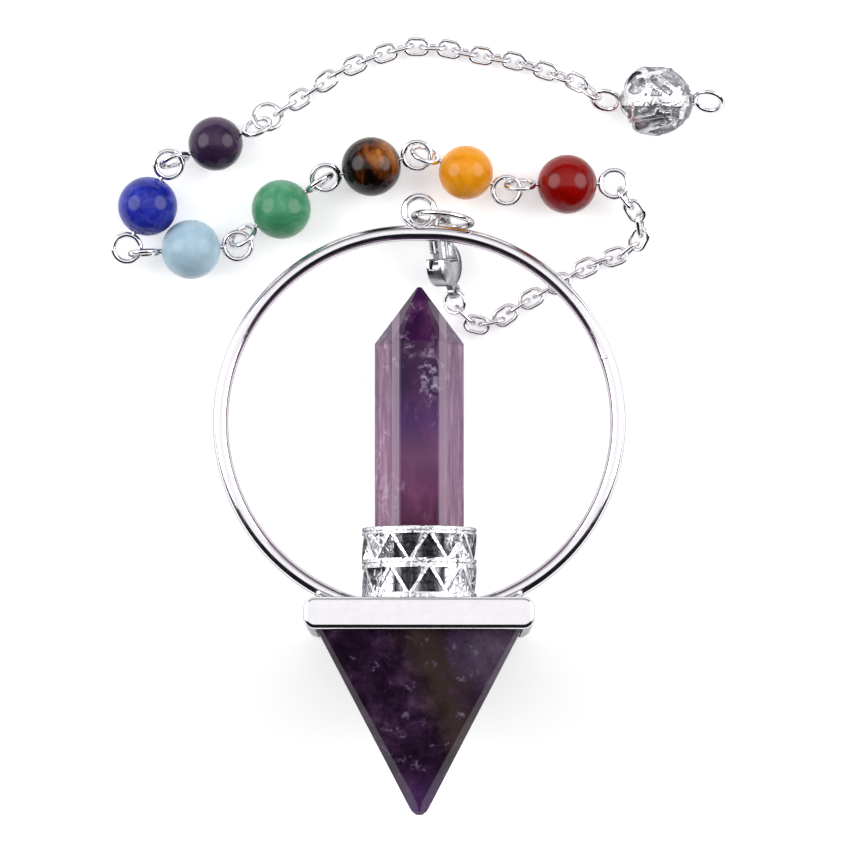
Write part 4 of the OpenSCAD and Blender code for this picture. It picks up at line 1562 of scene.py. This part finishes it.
@dataclass
class Studio:
    """The white card, the soft boxes and the camera, at the photograph's angle."""

    target: Spot = (0.807, -0.864, 0.0)
    distance: float = 600.0
    back: float = 5.45
    focal_px: float = 6000.0
    picture_px: float = 850.0
    card_half_m: float = 1.5
    # How high the tent's walls end over the table, and over how many degrees up and down they fade
    wall_foot: float = 19.0
    wall_fade: float = 4.0
    overhead: Spot = (0.0, 0.24, 0.97)
    # Two round soft boxes: how far aside, up the table and up in metres, their width and their power
    box_spot: Spot = (0.72, 0.234, 0.49)
    box_size: float = 0.84
    box_power: float = 6.4

    def lay_card(self) -> None:
        """Lays the white card under the pendant."""
        half = self.card_half_m
        mesh = bpy.data.meshes.new("card")
        mesh.from_pydata([(-half, -half, 0), (half, -half, 0), (half, half, 0), (-half, half, 0)], [], [(0, 1, 2, 3)])
        mesh.transform(Matrix.Translation((0, 0, -0.02 * MM)))
        mesh.materials.append(PaleFloor().build())
        stand("card", mesh)

    def hang_boxes(self) -> None:
        """Hangs the soft boxes, and sets the dim room round them."""
        aside, along, up = self.box_spot
        for name, spot in (("left_box", Vector((-aside, along, up))), ("right_box", Vector((aside, along, up)))):
            light = bpy.data.lights.new(name, "AREA")
            light.shape, light.size, light.energy = "DISK", self.box_size, self.box_power
            lamp = stand(name, light)
            lamp.location = spot
            lamp.rotation_euler = (-spot).to_track_quat("-Z", "Y").to_euler()
        world = bpy.data.worlds.new("studio")
        world.use_nodes = True
        tree = world.node_tree
        tree.nodes.clear()
        # A white tent over the chain's side. It is open toward the pyramid's tip, and its walls stop short of the
        # table, so the dark room shows in the metal
        way = add_node(tree, "ShaderNodeTexCoord")
        part = add_node(tree, "ShaderNodeSeparateXYZ", {0: way.outputs["Generated"]})
        opened = add_node(tree, "ShaderNodeMapRange", {
            "Value": part.outputs["Y"], "From Min": -0.02, "From Max": -0.12}, interpolation_type="SMOOTHSTEP")
        under = add_node(tree, "ShaderNodeMapRange", {
            "Value": part.outputs["Z"], "From Min": sin_d(self.wall_foot - self.wall_fade),
            "From Max": sin_d(self.wall_foot + self.wall_fade), "To Min": 0.9, "To Max": 0.0,
        }, interpolation_type="SMOOTHSTEP")
        room = add_node(tree, "ShaderNodeMath", {0: opened.outputs[0], 1: under.outputs[0]}, operation="MAXIMUM")
        toward = add_node(tree, "ShaderNodeVectorMath", {
            0: way.outputs["Generated"], 1: Vector(self.overhead).normalized()}, operation="DOT_PRODUCT")
        roof = add_node(tree, "ShaderNodeMapRange", {
            "Value": toward.outputs["Value"], "From Min": 0.7, "From Max": 0.93}, interpolation_type="SMOOTHSTEP")
        cloth = add_node(tree, "ShaderNodeMix", {
            0: roof.outputs[0], 6: linear("#b4b4b8"), 7: linear("#f6f5f8")}, data_type="RGBA")
        tent = add_node(tree, "ShaderNodeMix", {
            0: room.outputs[0], 6: cloth.outputs[2], 7: linear("#17171a")}, data_type="RGBA")
        ray = add_node(tree, "ShaderNodeLightPath")
        seen = add_node(tree, "ShaderNodeMix", {
            0: ray.outputs["Is Camera Ray"], 6: tent.outputs[2], 7: linear("#f4f4f4")}, data_type="RGBA")
        glow = add_node(tree, "ShaderNodeBackground", {"Color": seen.outputs[2], "Strength": 1.15})
        add_node(tree, "ShaderNodeOutputWorld", {"Surface": glow.outputs[0]})
        bpy.context.scene.world = world

    def place_camera(self) -> None:
        """Places the camera over the pendant, a little toward the chain."""
        lens = bpy.data.cameras.new("camera")
        lens.sensor_width = 36.0
        lens.lens = self.focal_px / self.picture_px * lens.sensor_width
        lens.clip_start, lens.clip_end = 0.01, 20.0
        camera = stand("camera", lens)
        away = Vector((0, sin_d(self.back), cos_d(self.back))) * self.distance
        camera.location = (Vector(self.target) + away) * MM
        camera.rotation_euler = (-math.radians(self.back), 0, 0)
        bpy.context.scene.camera = camera

    def build(self) -> None:
        """Sets up the studio."""
        self.place_camera()
        self.lay_card()
        self.hang_boxes()
        bpy.context.scene.view_settings.view_transform = "Standard"


BEAD_D = 5.9
SMALL_BEAD_D = 5.4

# Each bead's name, diameter, place, heading, the rolls of its loops behind and ahead, its stone and its slot
BEADS = [
    Bead("red", BEAD_D, (14.65, 4.73), 0.7, -75, -10, TumbledStone(
        "red_agate", "#8a0a06", "#a60d07", "#b81a10", "#cc9c98", 3.4, 0.2), "red_stone"),
    Bead("yellow", SMALL_BEAD_D, (4.62, 5.88), -23.7, -65, 0, TumbledStone(
        "yellow_agate", "#d99418", "#eaa820", "#f2c04a", "#f0dcc0", 3.0, 0.3), "yellow_stone"),
    Bead("tiger", BEAD_D, (-4.76, 6.49), 13.8, 19, 1, TigersEye(), "tiger_eye"),
    Bead("green", BEAD_D, (-13.69, 2.25), 34.7, -62, 80, TumbledStone(
        "green_aventurine", "#438a63", "#599e78", "#78b694", "#cfe0d6", 2.6, 0.2), "green_stone"),
    Bead("pale_blue", BEAD_D, (-22.67, -1.74), 4.3, 80, 0, TumbledStone(
        "pale_blue_agate", "#a5bfcd", "#b1c9d6", "#c9dae2", "#e9eef1", 3.2, 0.3), "pale_blue_stone"),
    Bead("lapis", BEAD_D, (-26.93, 2.55), 63.4, 0, 10, TumbledStone(
        "lapis", "#1f267e", "#2f3ba8", "#5663c8", "#b9b9e0", 1.4, 0.05), "lapis"),
    Bead("amethyst", SMALL_BEAD_D, (-20.19, 8.75), 22.2, 70, -63, TumbledStone(
        "dark_amethyst", "#33233b", "#45334d", "#5f4a67", "#c9bccd", 2.4, 0.08), "dark_amethyst"),
]

# The chains' routes over the surface, between the rings and loops that hold their ends
UPPER_ROUTE = [
    (-10.8, 13.8), (-8, 15.8), (-4.8, 17.2), (-1.3, 18.3), (2.2, 18.2), (5.6, 17.5), (9.3, 16.9), (12.8, 15.8),
    (15.9, 14.7)]
LOWER_ROUTE = [
    (5.6, -9.4), (7.8, -9), (10.2, -7.3), (13.3, -5.6), (16.3, -3.8), (18.6, -2.9), (20.6, -2.2), (22, -0.6),
    (21.9, 1.2), (20.9, 2.8)]


def main() -> None:
    """Builds the studio and the pendant, piece by piece."""
    logging.basicConfig(level=logging.INFO, format="%(message)s")
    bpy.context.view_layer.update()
    Studio().build()
    wires, seats = WireTree(), SeatTree()
    bright = PlatedMetal("plated_wire").build()
    links = PlatedMetal("plated_links", roughness=(0.09, 0.2), ripple_mm=0.6).build()
    Mount().build(wires, seats)
    clasp, ball = Clasp(), CastBall()
    clasp.build(wires)
    jump = RoundRing("jump_ring", (2.32, 1.34, 4.84), tilt=73.8, turn=-7.2, bend_r=2.87, wire_d=0.58)
    upper = RoundRing("upper_ring", (-15.05, 11.38, 1.97), tilt=-29, turn=-3, bend_r=1.4, wire_d=0.5)
    jump.build(wires, bright)
    upper.build(wires, bright)
    for bead in BEADS:
        bead.build(wires, bright)
    ball.build(wires, bright)
    red = BEADS[0]
    red_normal = turned(red.roll_ahead, 0, red.heading).to_3x3() @ Vector((0, 0, 1))
    tail_normal = clasp.tail_turn.to_3x3() @ Vector((0, 0, 1))
    Chain("upper_chain", UPPER_ROUTE, (-5, 25),
          Anchor(Vector(upper.place), upper.normal, upper.bend_r, upper.wire_d),
          Anchor(ball.eye(-1), ball.eye_normal, ball.pin.bend_r, ball.pin.wire_d)).build(wires, seats, links)
    Chain("lower_chain", LOWER_ROUTE, (5, -22),
          Anchor(clasp.tail_place, tail_normal, clasp.tail_bend_r, clasp.tail_wire_d),
          Anchor(red.eye(1), red_normal, red.pin.bend_r, red.pin.wire_d)).build(wires, seats, links)
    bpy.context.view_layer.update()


if __name__ == "__main__":
    main()
